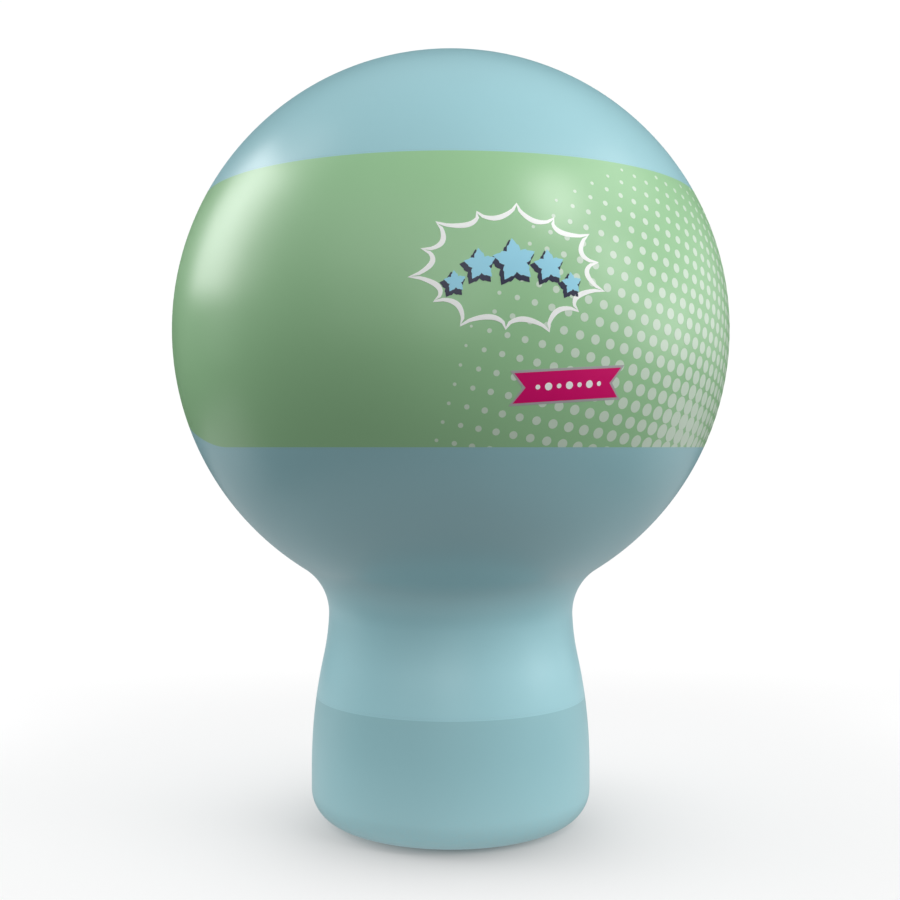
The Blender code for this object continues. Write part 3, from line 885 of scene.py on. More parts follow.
def halftone():
    dots, hair = [], 0.012
    for i in range(-16, 20):
        for j in range(-12, 14):
            azimuth, lean = dot_place(i, j)
            radius = dot_radius(azimuth, lean)
            too_low = lean + radius < BAND_BOTTOM + 0.1
            if radius < SMALLEST_DOT or too_low or lean + radius > BAND_TOP - 0.3:
                continue
            outline = circle(radius, 12 if radius < 0.8 else 20)
            for di, dj in ((1, 0), (-1, 0), (0, 1), (0, -1)):
                other = dot_place(i + di, j + dj)
                away = (other[0] - azimuth) * cos(radians((lean + other[1]) / 2)), other[1] - lean
                gap = hypot(*away)
                outline = clipped(outline, (away[0] / gap, away[1] / gap), gap / 2 - hair)
            outline = clipped(outline, (0, -1), lean - BAND_BOTTOM - hair)
            if len(outline) < 3:
                continue
            middle = [sum(point[k] for point in outline) / len(outline) for k in (0, 1)]
            centre = about((azimuth, lean), *middle)
            outline = [(x - middle[0], y - middle[1]) for x, y in outline]
            dots.append(inked_star(centre, outline, 1 if radius < 0.9 else 2))
    print(len(dots), "halftone dots")
    return joined(*dots)


piece("halftone_dots", halftone(), PALE_INK)

# %% [markdown]
# A comic burst in white outline frames an arc of stars with a dark shadow each, and below it hangs a bright
# swallow-tailed ribbon with a pale rim and a row of beads. They are plain motifs that nobody owns.

# %% Burst, stars and ribbon
BURST_AT = (10.3, 6.2)
BURST_HALF = (15.8, 10.2)
BURST_POINTS = 14
BURST_HOLLOW = 0.2
BURST_LONGER = 1.1
LINE_HALF = 0.38
STARS = ((0.7, 3.7, 1.9), (4.9, 6.6, 2.8), (10.8, 7.4, 3.8), (16.8, 6.7, 2.8), (20.8, 3.9, 1.9))
STAR_DEPTH = 0.52
SHADOW_SHIFT = (-0.4, -0.6)
RIBBON_AT = (21.0, -13.2)
RIBBON_HALF = (10.6, 3.0)
RIBBON_NOTCH = 2.2
RIBBON_RIM = 0.42
RIBBON_TILT = 0.07
BEADS = 7
BEAD_STEP = 1.9


def burst_path():
    """Sharp points round an oval with hollow sides between them, and a line thinnest at the points."""
    path, steps = [], 12
    for point in range(BURST_POINTS):
        here, there = (BURST_LONGER, 1.0) if point % 2 else (1.0, BURST_LONGER)
        for step in range(steps):
            share = step / steps
            turn = 2 * pi * (point + share) / BURST_POINTS + 0.15
            reach = here * (1 - share) + there * share - BURST_HOLLOW * sqrt(sin(pi * share))
            x, y = BURST_HALF[0] * reach * cos(turn), BURST_HALF[1] * reach * sin(turn)
            path.append((*about(BURST_AT, x, y), LINE_HALF * (0.6 + 0.6 * sin(pi * share))))
    return path


def star_outline(size, grow=0.0, points=5, soft=5):
    """A five-pointed star with rounded points, as (x, y) degrees."""
    outline = []
    for k in range(points * 2 * soft):
        share = abs((k / soft + 1) % 2 - 1)
        rounded = 1 - (1 - share) ** 1.6 if share < 0.5 else share
        turn = pi / 2 + pi * k / (points * soft) + 0.12
        radius = size * (STAR_DEPTH + (1 - STAR_DEPTH) * (1 - rounded)) + grow
        outline.append((radius * cos(turn), radius * sin(turn)))
    return outline


def ribbon_outline(shrink, steps=14):
    """A ribbon with a notch cut in each end, as (x, y) degrees, drawn in by shrink all round."""
    wide, high = RIBBON_HALF[0] - shrink * 1.6, RIBBON_HALF[1] - shrink
    notch = RIBBON_NOTCH - shrink * 0.3
    corners = [
        (wide, high), (-wide, high), (notch - wide, 0), (-wide, -high), (wide, -high), (wide - notch, 0),
    ]
    outline = []
    for one, two in zip(corners, corners[1:] + corners[:1]):
        for step in range(steps):
            x, y = (one[k] + (two[k] - one[k]) * step / steps for k in (0, 1))
            outline.append((x, y + RIBBON_TILT * x))
    return outline


piece("burst_line", inked_line(burst_path(), True), WHITE_INK)
shadows, stars = [], []
for azimuth, lean, size in STARS:
    behind = about((azimuth, lean), *SHADOW_SHIFT)
    shadows.append(inked_star(behind, star_outline(size, 0.35), 5, layer=1))
    stars.append(inked_star((azimuth, lean), star_outline(size), 5, layer=3))
piece("star_shadows", joined(*shadows), NAVY_INK)
piece("stars", joined(*stars), SKY_INK)
piece("ribbon_rim", inked_star(RIBBON_AT, ribbon_outline(0), 8, layer=1), SILVER_INK)
piece("ribbon", inked_star(RIBBON_AT, ribbon_outline(RIBBON_RIM), 8, layer=2), MAGENTA_INK)
beads = []
for k in range(BEADS):
    x = (k - (BEADS - 1) / 2) * BEAD_STEP
    radius = 0.66 if k % 2 else 0.42
    beads.append(inked_star(about(RIBBON_AT, x, RIBBON_TILT * x), circle(radius, 20), 2, layer=4))
piece("ribbon_beads", joined(*beads), WHITE_INK)
print("print: burst,", len(STARS), "stars, ribbon and", BEADS, "beads")

# %% [markdown]
# ## The floor disc, the crown patch and the stitching
# Under the base lies a disc of heavy cloth, and at the crown a round patch covers the point where the
# gores meet. Each stitch is a real small lozenge of thread. The thread has nearly the cloth's own colour,
# so the seams show only close to, as on the real one.

# %% Floor disc and crown patch
SEW_PITCH = 6 * MM
SEW_LENGTH = 4.4 * MM
SEW_WIDTH = 0.9 * MM
SEW_HEIGHT = 0.5 * MM
PATCH_LEAN = 82.2
TRIM = 2 * MM


def stitches(path, closed=True):
    """Lozenges of thread spaced along a path of (point, normal)."""
    points, faces = [], []
    spots = [(Vector(point), Vector(normal)) for point, normal in path]
    if closed:
        spots.append(spots[0])
    carried = 0.0
    for (one, normal), (two, _) in zip(spots, spots[1:]):
        run = two - one
        if run.length < 1e-6:
            continue
        along = run.normalized()
        while carried < run.length:
            place = one + along * carried
            side = normal.cross(along) * SEW_WIDTH / 2
            start = len(points)
            ends = along * SEW_LENGTH / 2
            for corner in (-ends, side, ends, -side, normal * SEW_HEIGHT, -normal * SEW_HEIGHT):
                points.append(tuple(place + corner))
            for i in range(4):
                j = (i + 1) % 4
                faces += [[start + i, start + j, start + 4], [start + j, start + i, start + 5]]
            carried += SEW_PITCH
        carried -= run.length
    return points, faces


def skin_point(station, turn, out=0.0):
    """The balloon's point at a station and an angle from the back, and the way out of the cloth there."""
    radius, height, outward, up = station
    reach = radius + outward * out
    normal = Vector((outward * sin(turn), outward * cos(turn), up))
    return (reach * sin(turn), reach * cos(turn), height + up * out), normal


def ring_round(station, out=0.0, sides=360):
    """The path round the balloon at a station."""
    return [skin_point(station, 2 * pi * k / sides, out) for k in range(sides)]


def at_height(stations, height):
    """The station of an outline at a height."""
    for one, two in zip(stations, stations[1:]):
        if two[1] <= height <= one[1]:
            share = (one[1] - height) / (one[1] - two[1])
            return tuple(a + (b - a) * share for a, b in zip(one, two))
    return stations[0] if height > stations[0][1] else stations[-1]


floor_radius = OUTLINE["base_skirt"][-1][0]
rim = [(floor_radius - 0.3 * MM, CLOTH), (floor_radius - 0.3 * MM, 0.0)]
disc = [(0.0, CLOTH), (floor_radius / 2, CLOTH), *rim, (floor_radius / 2, 0.0), (0.0, 0.0)]
floor_disc = piece("floor_disc", lathe(disc, SIDES), FLOOR_CLOTH)
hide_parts("base_floor")

patch_arc = arc((0, BALL_CENTRE), BALL_RADIUS, BALL_HALF_HEIGHT, 90, PATCH_LEAN, 1.0)
top_side = offset(patch_arc[:-1], 0.3 * MM + TRIM) + offset(patch_arc[-1:], 0.3 * MM + TRIM / 2)
patch_shape = lathe(top_side + offset(patch_arc, 0.1 * MM)[::-1], 96)
crown_patch = piece("crown_patch_cloth", patch_shape, LIGHT_BLUE_CLOTH)
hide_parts("crown_patch")

# %% Seam stitching
SEAM_INSET = 5 * MM


def seam_rows(*rows):
    """Rings of stitches, each given as (ring of cloth, height)."""
    return joined(*[stitches(ring_round(at_height(OUTLINE[ring], height))) for ring, height in rows])


band_top, band_low = OUTLINE["printed_band"][0][1], OUTLINE["printed_band"][-1][1]
base_top = OUTLINE["base_skirt"][0][1]
band_sewing = seam_rows(("crown_cap", band_top + SEAM_INSET), ("lower_bowl", band_low - SEAM_INSET))
piece("band_stitches", band_sewing, THREAD)
base_sewing = seam_rows(("neck_panel", base_top + SEAM_INSET), ("neck_panel", base_top + 2 * SEAM_INSET))
piece("base_stitches", base_sewing, THREAD)
patch_sewing = []
lean_in = radians(PATCH_LEAN + 0.35)
for inset in (0, 0.006):
    radius, rise = BALL_RADIUS * cos(lean_in + inset), BALL_HALF_HEIGHT * sin(lean_in + inset)
    station = (radius, BALL_CENTRE + rise, cos(lean_in), sin(lean_in))
    patch_sewing.append(stitches(ring_round(station, 0.3 * MM + TRIM)))
piece("patch_stitches", joined(*patch_sewing), THREAD)

ZIP_TOP = 1.060
ZIP_BOTTOM = 0.525
BACK_SEAM_TOP = 2.988
BACK_SEAM_STEPS = 240
whole_outline = OUTLINE["crown_cap"] + OUTLINE["printed_band"] + OUTLINE["lower_bowl"] + OUTLINE["neck_panel"]
back_sewing = []
for aside in (-4 * MM, 4 * MM):
    path = []
    for k in range(BACK_SEAM_STEPS + 1):
        height = BACK_SEAM_TOP + (ZIP_TOP + 0.01 - BACK_SEAM_TOP) * k / BACK_SEAM_STEPS
        station = at_height(whole_outline, height)
        path.append(skin_point(station, aside / station[0]))
    back_sewing.append(stitches(path, closed=False))
piece("back_seam_stitches", joined(*back_sewing), THREAD)
print("sewn: band, base, crown patch and the closing seam down the back")

# %% [markdown]
# ## The way in for the air
# The photograph shows only the front, so the back is built as such balloons are made. A fan sits in a round
# hole of the base. The cloth is stiffened by a round patch there, and a short sleeve is strapped round the
# fan's duct. The hole is cut with a Boolean, because the ring of cloth already exists and the cut must follow
# its curve.

# %% The fan's hole
FAN_HEIGHT = 0.295
DUCT_RADIUS = 0.130
DUCT_BACK = 0.640
GAP = 0.3 * MM
ALONG_FAN = Matrix.Translation((0, 0, FAN_HEIGHT)) @ Matrix.Rotation(-pi / 2, 4, "X")


def ring_points(radius, height, sides):
    return [(x, y, height) for x, y in circle(radius, sides)]


def stack(loops, closed=False):
    """A skin over loops with equally many points. Its two ends are capped, or joined if it is closed."""
    points = [point for loop in loops for point in loop]
    count, faces = len(loops[0]), []
    pairs = list(zip(range(len(loops)), range(1, len(loops))))
    if closed:
        pairs.append((len(loops) - 1, 0))
    for one, two in pairs:
        for i in range(count):
            j = (i + 1) % count
            faces.append([one * count + i, one * count + j, two * count + j, two * count + i])
    if not closed:
        faces += [list(range(count)), list(range(len(points) - count, len(points)))]
    return points, faces


def plain_object(name, shape):
    mesh = bpy.data.meshes.new(name)
    mesh.from_pydata(shape[0], [], shape[1])
    face_outward(mesh)
    made = bpy.data.objects.new(name, mesh)
    bpy.context.collection.objects.link(made)
    return made


def cut_hole(target, cutter):
    """Takes the cutter's shape out of a piece for good, and drops the cutter."""
    boolean = target.modifiers.new("hole", "BOOLEAN")
    boolean.operation = "DIFFERENCE"
    boolean.object = cutter
    seen = target.evaluated_get(bpy.context.evaluated_depsgraph_get())
    cut_mesh = bpy.data.meshes.new_from_object(seen)
    target.modifiers.clear()
    target.data = cut_mesh
    bpy.data.objects.remove(cutter)
    cut_mesh.set_sharp_from_angle(angle=radians(35))


bore = moved(stack([ring_points(DUCT_RADIUS + GAP, height, 96) for height in (0.40, 0.66)]), ALONG_FAN)
cut_hole(skirt, plain_object("bore", bore))
print("the skirt has", len(skirt.data.polygons), "faces with its hole")

# %% [markdown]
# The patch is a flat ring of cloth pressed on the curved base, so each of its points takes its depth from
# the base's outline. The sleeve is gathered: its folds are deepest half-way, and the strap presses them flat.


# %% Patch and sleeve
def base_depth(across, height, out):
    """How far back the base's cloth, moved out by out, lies at this place."""
    radius, _, outward, _ = at_height(OUTLINE["base_skirt"], height)
    return sqrt(max((radius + outward * out) ** 2 - across ** 2, 0))


def round_the_fan(rho, phi, out):
    across, rise = rho * sin(phi), rho * cos(phi)
    return across, base_depth(across, FAN_HEIGHT + rise, out), FAN_HEIGHT + rise


def grid(rows, columns, place, measure):
    """A closed sheet round the fan. place gives a point and measure its spot on the cloth."""
    points = [place(row, column) for row in range(rows) for column in range(columns)]
    faces, measures = [], []
    for row in range(rows):
        for column in range(columns):
            spots = ((row, column), (row, column + 1), (row + 1, column + 1), (row + 1, column))
            faces.append([(down % rows) * columns + along % columns for down, along in spots])
            measures.append([measure(*spot) for spot in spots])
    return points, faces, measures


PATCH_RADIUS = 0.172
PATCH_HOLE = 0.1306
COLUMNS = 160
patch_top = [(rho, TRIM) for rho in (PATCH_HOLE, 0.1345, 0.142, 0.152, 0.162, 0.1695)]
patch_top += [(0.1714, TRIM * 0.85), (PATCH_RADIUS, TRIM * 0.45)]
patch_rows = [(rho, GAP + out) for rho, out in patch_top] + [(PATCH_RADIUS, 0.1 * MM), (PATCH_HOLE, 0.1 * MM)]


def patch_place(row, column):
    rho, out = patch_rows[row]
    phi = 2 * pi * column / COLUMNS
    drawn_in = max(0, 1 - (rho - DUCT_RADIUS) / 0.035) if out > GAP else 0
    pucker = 0.5 * MM * drawn_in * (1 + sin(23 * phi + 1.3 * sin(3 * phi)))
    return round_the_fan(rho, phi, out + pucker)


def patch_measure(row, column):
    return column * 0.15 * 2 * pi / COLUMNS, row * 0.006


collar_shape = grid(len(patch_rows), COLUMNS, patch_place, patch_measure)
intake_patch = piece("intake_patch_cloth", collar_shape, BASE_CLOTH)
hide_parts("intake_patch")

CUFF_CLOTH = 0.004
SLEEVE_THICK = 1.6 * MM
SLEEVE_BACK = 0.6277
STRAP_BACK = 0.6257
STRAP_FRONT = 0.6007
cuff_outside = DUCT_RADIUS + GAP + CUFF_CLOTH
SLEEVE_ROWS = 26


def sleeve_place(row, column):
    """Rows run back along the outside from the base to the flange, then forward along the inside."""
    inside = row >= SLEEVE_ROWS
    share = (2 * SLEEVE_ROWS - 1 - row if inside else row) / (SLEEVE_ROWS - 1)
    phi = 2 * pi * column / COLUMNS
    flare = 5 * MM * (1 - min(share / 0.16, 1)) ** 2
    start = round_the_fan(cuff_outside + 5 * MM, phi, GAP + TRIM)[1]
    back = start + (SLEEVE_BACK - start) * share
    free = min(max((STRAP_FRONT - 2 * MM - back) / 0.018, 0), 1)
    gathers = free * min(share / 0.2, 1) * (0.5 + 0.5 * sin(19 * phi + 1.7 * sin(2 * phi)))
    hem = 0.4 * MM if back > STRAP_BACK else 0
    rho = cuff_outside - 0.3 * MM + flare + 2.6 * MM * gathers + hem
    if inside:
        rho = max(rho - SLEEVE_THICK, DUCT_RADIUS + GAP)
    return rho * sin(phi), back, FAN_HEIGHT + rho * cos(phi)


def sleeve_measure(row, column):
    return column * 0.134 * 2 * pi / COLUMNS, row * 0.0036


sleeve_shape = grid(2 * SLEEVE_ROWS, COLUMNS, sleeve_place, sleeve_measure)
sleeve = piece("intake_sleeve", sleeve_shape, BASE_CLOTH)
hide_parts("intake_cuff")

# %% [markdown]
# The strap is webbing with its free end tucked back beside the buckle. Webbing is too stiff to count as
# cloth. The buckle is a spring one: a curved plate, two cheeks, and a lever that turns on a pin between them.


# %% Strap and buckle
def block(low, high, bevel, segments=2):
    """A box between two corners with rounded edges, as (points, faces)."""
    low, high = Vector(low), Vector(high)
    shape = bmesh.new()
    bmesh.ops.create_cube(shape, size=1)
    bmesh.ops.scale(shape, vec=high - low, verts=shape.verts)
    bmesh.ops.translate(shape, vec=(low + high) / 2, verts=shape.verts)
    bmesh.ops.bevel(shape, geom=shape.edges[:], offset=bevel, segments=segments, profile=0.6, affect="EDGES")
    points = [tuple(vert.co) for vert in shape.verts]
    faces = [[vert.index for vert in face.verts] for face in shape.faces]
    shape.free()
    return points, faces


def rod(radius, low, high, sides=20, edge=0.3 * MM):
    """A rod along Z with chamfered ends."""
    rows = ((radius - edge, low), (radius, low + edge), (radius, high - edge), (radius - edge, high))
    return stack([ring_points(reach, height, sides) for reach, height in rows])


def bent(shape, radius):
    """A flat shape rolled round the fan: X becomes the way round it, and Z stays the distance from it."""
    points, *rest = shape
    rolled = [(z * sin(x / radius), y, z * cos(x / radius)) for x, y, z in points]
    return (rolled, *rest)


strap_inside = cuff_outside + GAP
strap_outside = strap_inside + TRIM
soft_edge = 0.4 * MM
strap_profile = [
    (strap_outside - soft_edge, STRAP_BACK), (strap_outside, STRAP_BACK - soft_edge),
    (strap_outside, STRAP_FRONT + soft_edge), (strap_outside - soft_edge, STRAP_FRONT),
    (strap_inside + soft_edge, STRAP_FRONT), (strap_inside, STRAP_FRONT + soft_edge),
    (strap_inside, STRAP_BACK - soft_edge), (strap_inside + soft_edge, STRAP_BACK),
]
strap_round = moved(lathe(strap_profile, 128), ALONG_FAN)
TAIL_STEPS = 24
tail_loops = []
for k in range(TAIL_STEPS + 1):
    turn = radians(-16 - 2.0 * k)
    narrow = 1 * MM + (3 * MM if k == TAIL_STEPS else 0)
    proud = strap_outside + 0.2 * MM + 0.6 * MM * max(0, k - 20) / 4
    corners = (
        (proud, STRAP_FRONT + narrow), (proud, STRAP_BACK - narrow),
        (proud + 1.6 * MM, STRAP_BACK - narrow), (proud + 1.6 * MM, STRAP_FRONT + narrow),
    )
    tail_loops.append([(reach * sin(turn), y, reach * cos(turn)) for reach, y in corners])
BUCKLE_AT = Matrix.Translation((0, 0, FAN_HEIGHT)) @ Matrix.Rotation(radians(52), 4, "Y")
tail_points, tail_faces = moved(stack(tail_loops), BUCKLE_AT)
tail_measures = []
for face in tail_faces:
    corners = zip((0, 0, 1, 1), range(4), face)
    tail_measures.append([(along * 4.8 * MM, across * 12 * MM) for along, across, _ in corners])
strap_shape = joined(strap_round, (tail_points, tail_faces, tail_measures))
strap = piece("cuff_strap_webbing", strap_shape, WEBBING)
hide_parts("cuff_strap")

half, front, back = 22 * MM, STRAP_FRONT - 4 * MM, STRAP_BACK - TRIM
seat = strap_outside + GAP
plate_shape = bent(block((-half, front, seat), (half, back, seat + 1.4 * MM), 0.5 * MM), seat)
cheeks = [
    block((-12 * MM, y, seat + 0.8 * MM), (14 * MM, y + 1.6 * MM, seat + 8.4 * MM), 0.7 * MM, 3)
    for y in (front + 0.6 * MM, back - 2.2 * MM)
]
axle_at = Matrix.Translation((5 * MM, (front + back) / 2, seat + 5.2 * MM)) @ Matrix.Rotation(pi / 2, 4, "X")
pin = moved(rod(1.5 * MM, -13.3 * MM, 13.3 * MM), axle_at)
cam = moved(rod(2.9 * MM, -10.4 * MM, 10.4 * MM, 24), axle_at)
lever = moved(
    block((-20 * MM, front + 3 * MM, -1.0 * MM), (4 * MM, back - 3 * MM, 1.0 * MM), 0.8 * MM, 3),
    Matrix.Translation((5 * MM, 0, seat + 5.4 * MM)) @ Matrix.Rotation(radians(-3), 4, "Y"),
)
buckle_shape = moved(joined(plate_shape, *cheeks, pin, lever, cam), BUCKLE_AT)
buckle = piece("cuff_buckle_metal", buckle_shape, ZINC)
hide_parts("cuff_buckle")
print("intake: patch, sleeve, strap and buckle")

# %% [markdown]
# ## The fan
# The duct with its flange and the motor's clamp keep their CAD shapes and get moulded plastic and plated
# steel. The guard is welded from round wire, the wheel has thin rounded blades, and both are seen from
# close by, so they are made finer here.

# %% Housing, motor and clamp
for name, finish in (("fan_housing", GREY_PLASTIC), ("fan_motor", PAINTED), ("motor_bracket", STEEL)):
    for holder in nodes[name].material_slots:
        holder.link = "OBJECT"
        holder.material = finish
MOTOR_RADIUS = 0.048
RIBS_FROM, RIB_PITCH = 0.468, 6.5 * MM
rib_shapes = []
for k in range(6):
    at = RIBS_FROM + k * RIB_PITCH
    rib = [
        (MOTOR_RADIUS - 0.5 * MM, at), (MOTOR_RADIUS + 1.2 * MM, at + 0.3 * MM),
        (MOTOR_RADIUS + 1.2 * MM, at + 1.7 * MM), (MOTOR_RADIUS - 0.5 * MM, at + 2 * MM),
    ]
    rib_shapes.append(lathe(rib, 64)[:2])
piece("motor_ribs", moved(joined(*rib_shapes)[:2], ALONG_FAN), PAINTED)
SCREW_DOME = ((1, 0), (1, 0.45), (0.93, 0.75), (0.76, 0.95), (0.58, 1))
SOCKET = 0.42


def screw(radius, height, sides=24):
    """A domed head with a hexagonal socket, its foot at Z = 0."""
    loops = [ring_points(radius * wide, height * up, sides) for wide, up in SCREW_DOME]
    hexagon = []
    for k in range(sides):
        turn = 2 * pi * k / sides
        reach = radius * SOCKET * cos(pi / 6) / cos((turn % (pi / 3)) - pi / 6)
        hexagon.append((reach * cos(turn), reach * sin(turn)))
    loops += [[(x, y, height * up) for x, y in hexagon] for up in (1, 0.35)]
    return stack(loops)


def round_fan(shape, count, radius, depth):
    """Copies of a shape spaced round the fan's axis, its Z along the axis."""
    copies = []
    for k in range(count):
        turn = Matrix.Rotation(2 * pi * k / count, 4, "Z")
        copies.append(moved(shape, ALONG_FAN @ turn @ Matrix.Translation((radius, 0, depth))))
    return joined(*copies)[:2]


# %% Guard
GUARD_RINGS = (0.030, 0.055, 0.080, 0.105, 0.132)
GUARD_BARS = 8
RING_DEPTH = DUCT_BACK + GAP + 2.5 * MM
BAR_DEPTH = DUCT_BACK + GAP + 1.5 * MM
WIRE_SIDES = 10
guard_shapes = []
for radius in GUARD_RINGS:
    thick = 1.9 * MM if radius == GUARD_RINGS[-1] else 1.5 * MM
    section = [(radius + x, RING_DEPTH + y) for x, y in circle(thick, WIRE_SIDES)]
    guard_shapes.append(moved(lathe(section, 128)[:2], ALONG_FAN))
bar = moved(rod(1.4 * MM, 0.010, 0.1335, WIRE_SIDES), Matrix.Rotation(pi / 2, 4, "Y"))
guard_shapes.append(round_fan(bar, GUARD_BARS, 0, BAR_DEPTH))
boss_profile = [
    (0, 0.6403), (0.017, 0.6403), (0.018, 0.6412), (0.018, 0.6428), (0.0174, 0.6437), (0.0155, 0.6443),
    (0.010, 0.6449), (0, 0.6452),
]
guard_shapes.append(moved(lathe(boss_profile, 48)[:2], ALONG_FAN))
clip = block((-7.5 * MM, -4.5 * MM, 0), (6.5 * MM, 4.5 * MM, 1.2 * MM), 0.5 * MM)
clip_rise = block((-9.5 * MM, -4.5 * MM, 0.3 * MM), (-5.5 * MM, 4.5 * MM, 5.4 * MM), 1.0 * MM, 3)
guard_shapes.append(round_fan(clip, GUARD_BARS, 0.1435, DUCT_BACK + 0.1 * MM))
guard_shapes.append(round_fan(clip_rise, GUARD_BARS, 0.1395, DUCT_BACK))
guard = piece("fan_guard_wire", joined(*guard_shapes)[:2], ZINC)
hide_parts("fan_guard")
guard_screws = round_fan(screw(3.4 * MM, 2.2 * MM), GUARD_BARS, 0.1455, DUCT_BACK + 1.2 * MM)
piece("guard_screws", guard_screws, STEEL)

# %% Wheel
BLADES = 7
HUB_RADIUS = 0.042
HUB_FRONT, HUB_BACK = 0.520, 0.575
BLADE_PLAN = ((0.038, 0.050, 48), (0.080, 0.066, 34), (0.120, 0.074, 24))
BLADE_THICK = 3.5 * MM
BLADE_CAMBER = 4 * MM


def through(three, at):
    """A smooth curve through three (place, value) pairs, read at a place."""
    total = 0
    for i, (place, value) in enumerate(three):
        for j, (other, _) in enumerate(three):
            if i != j:
                value *= (at - other) / (place - other)
        total += value
    return total


def fan_blade(angle, sections=10, half_points=11):
    """A twisted blade with a hollow face, whose tip is drawn in to a thin edge."""
    chords = [(radius, chord) for radius, chord, _ in BLADE_PLAN]
    pitches = [(radius, pitch) for radius, _, pitch in BLADE_PLAN]
    root, tip = BLADE_PLAN[0][0], BLADE_PLAN[-1][0]
    rows = [(root + (tip - root) * k / sections, 1.0, 1.0) for k in range(sections)]
    rows += [(tip - 0.6 * MM, 0.8, 1.0), (tip, 0.15, 0.985)]
    loops, middle = [], (HUB_FRONT + HUB_BACK) / 2
    for radius, thin, shorter in rows:
        chord, lean = through(chords, radius) * shorter, radians(through(pitches, radius))
        loop = []
        for side in (1, -1):
            for step in range(half_points):
                along = -0.5 * cos(pi * step / half_points) * side
                edge = sqrt(max(1 - (2 * along) ** 2, 0))
                thickness = side * BLADE_THICK / 2 * thin * (0.25 + 0.75 * edge) * (1 if edge > 1e-6 else 0)
                across = thickness + BLADE_CAMBER * (1 - (2 * along) ** 2)
                sideways = along * chord * cos(lean) - across * sin(lean)
                height = along * chord * sin(lean) + across * cos(lean)
                turned_by = angle + sideways / radius
                loop.append((radius * cos(turned_by), radius * sin(turned_by), middle + height))
        loops.append(loop)
    return stack(loops)


hub_profile = [
    (0, HUB_BACK), (0.012, HUB_BACK - 0.1 * MM), (0.022, HUB_BACK - 1.4 * MM), (0.031, HUB_BACK - 3.6 * MM),
    (0.0375, HUB_BACK - 6.2 * MM), (0.0408, HUB_BACK - 8.6 * MM), (HUB_RADIUS, HUB_BACK - 11 * MM),
    (HUB_RADIUS, HUB_FRONT + 1 * MM), (HUB_RADIUS - 1 * MM, HUB_FRONT), (0.0375, HUB_FRONT),
    (0.0375, HUB_FRONT + 6 * MM), (0.012, HUB_FRONT + 6 * MM), (0.012, HUB_FRONT), (6.4 * MM, HUB_FRONT),
    (6.4 * MM, HUB_FRONT + 0.026), (0, HUB_FRONT + 0.026),
]
hub = lathe(hub_profile, 64)[:2]
blades = [fan_blade(2 * pi * k / BLADES) for k in range(BLADES)]
wheel_shape = moved(joined(hub, *blades)[:2], ALONG_FAN)
wheel = piece("fan_wheel", wheel_shape, BLACK_PLASTIC, body="wheel", bend=40)
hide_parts("fan_rotor")
hub_screw = moved(screw(4 * MM, 2 * MM), ALONG_FAN @ Matrix.Translation((0, 0, HUB_BACK - 0.2 * MM)))
piece("hub_screw", hub_screw, STEEL, body="wheel")
print("fan: guard,", BLADES, "blades, hub and screws")

# %% [markdown]
# The switch box is a moulded box with a lid. The lid's joint is a real groove round it. In its face are a
# mains socket with three pins and a rocker switch. Each is a skin over loops that step in and down.


# %% Switch box
def rounded_loop(half_width, half_height, corner, y, centre, steps=4):
    """A rectangle with round corners that faces along Y."""
    loop = []
    for quarter, (right, top) in enumerate(((1, 1), (-1, 1), (-1, -1), (1, -1))):
        for step in range(steps + 1):
            turn = (quarter + step / steps) * pi / 2
            x = right * (half_width - corner) + corner * cos(turn)
            z = top * (half_height - corner) + corner * sin(turn)
            loop.append((centre[0] + x, y, centre[1] + z))
    return loop


def moulding(half_width, half_height, corner, centre, steps):
    """A skin over rounded rectangles, given as (how far in from the edge, Y)."""
    loops = []
    for inset, y in steps:
        rounding = max(corner - inset, 0.3 * MM)
        loops.append(rounded_loop(half_width - inset, half_height - inset, rounding, y, centre))
    return stack(loops)


BOX_HALF = (0.042, 0.022)
BOX_AT = (0, FAN_HEIGHT + 0.160 + GAP + 0.022)
BOX_FRONT = DUCT_BACK - 0.046
box_steps = [
    (2 * MM, BOX_FRONT), (0.6 * MM, BOX_FRONT + 0.6 * MM), (0, BOX_FRONT + 2 * MM),
    (0, 0.6255), (0.9 * MM, 0.6256), (0.9 * MM, 0.6268), (0, 0.6269),
    (0, DUCT_BACK - 2 * MM), (0.6 * MM, DUCT_BACK - 0.6 * MM), (2 * MM, DUCT_BACK),
]
box_shape = moulding(*BOX_HALF, 5 * MM, BOX_AT, box_steps)
box = piece("switch_box_moulding", box_shape, GREY_PLASTIC)
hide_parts("switch_box")
lid_screws = []
for x in (-0.0378, 0.0378):
    for z in (-0.0178, 0.0178):
        at = Matrix.Translation((x, DUCT_BACK, BOX_AT[1] + z)) @ Matrix.Rotation(-pi / 2, 4, "X")
        lid_screws.append(moved(screw(1.9 * MM, 0.9 * MM, 18), at))
piece("lid_screws", joined(*lid_screws)[:2], STEEL)

face = DUCT_BACK + GAP
INLET_AT, INLET_HALF = (-0.018, BOX_AT[1]), (0.016, 0.014)
inlet_steps = [
    (0, face), (0, face + 7.2 * MM), (0.3 * MM, face + 7.8 * MM), (1 * MM, face + 8 * MM),
    (3.6 * MM, face + 8 * MM), (4 * MM, face + 7.6 * MM), (4.2 * MM, face + 2.6 * MM),
]
inlet_shape = moulding(*INLET_HALF, 2.5 * MM, INLET_AT, inlet_steps)
inlet = piece("power_inlet_moulding", inlet_shape, BLACK_PLASTIC)
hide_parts("power_inlet")
pins = []
for x, z in ((-6.5, -1.5), (0, 2.0), (6.5, -1.5)):
    low = (INLET_AT[0] + (x - 1) * MM, face + 2 * MM, INLET_AT[1] + (z - 2) * MM)
    high = (INLET_AT[0] + (x + 1) * MM, face + 6.6 * MM, INLET_AT[1] + (z + 2) * MM)
    pins.append(block(low, high, 0.4 * MM))
piece("inlet_pins", joined(*pins)[:2], BRASS)

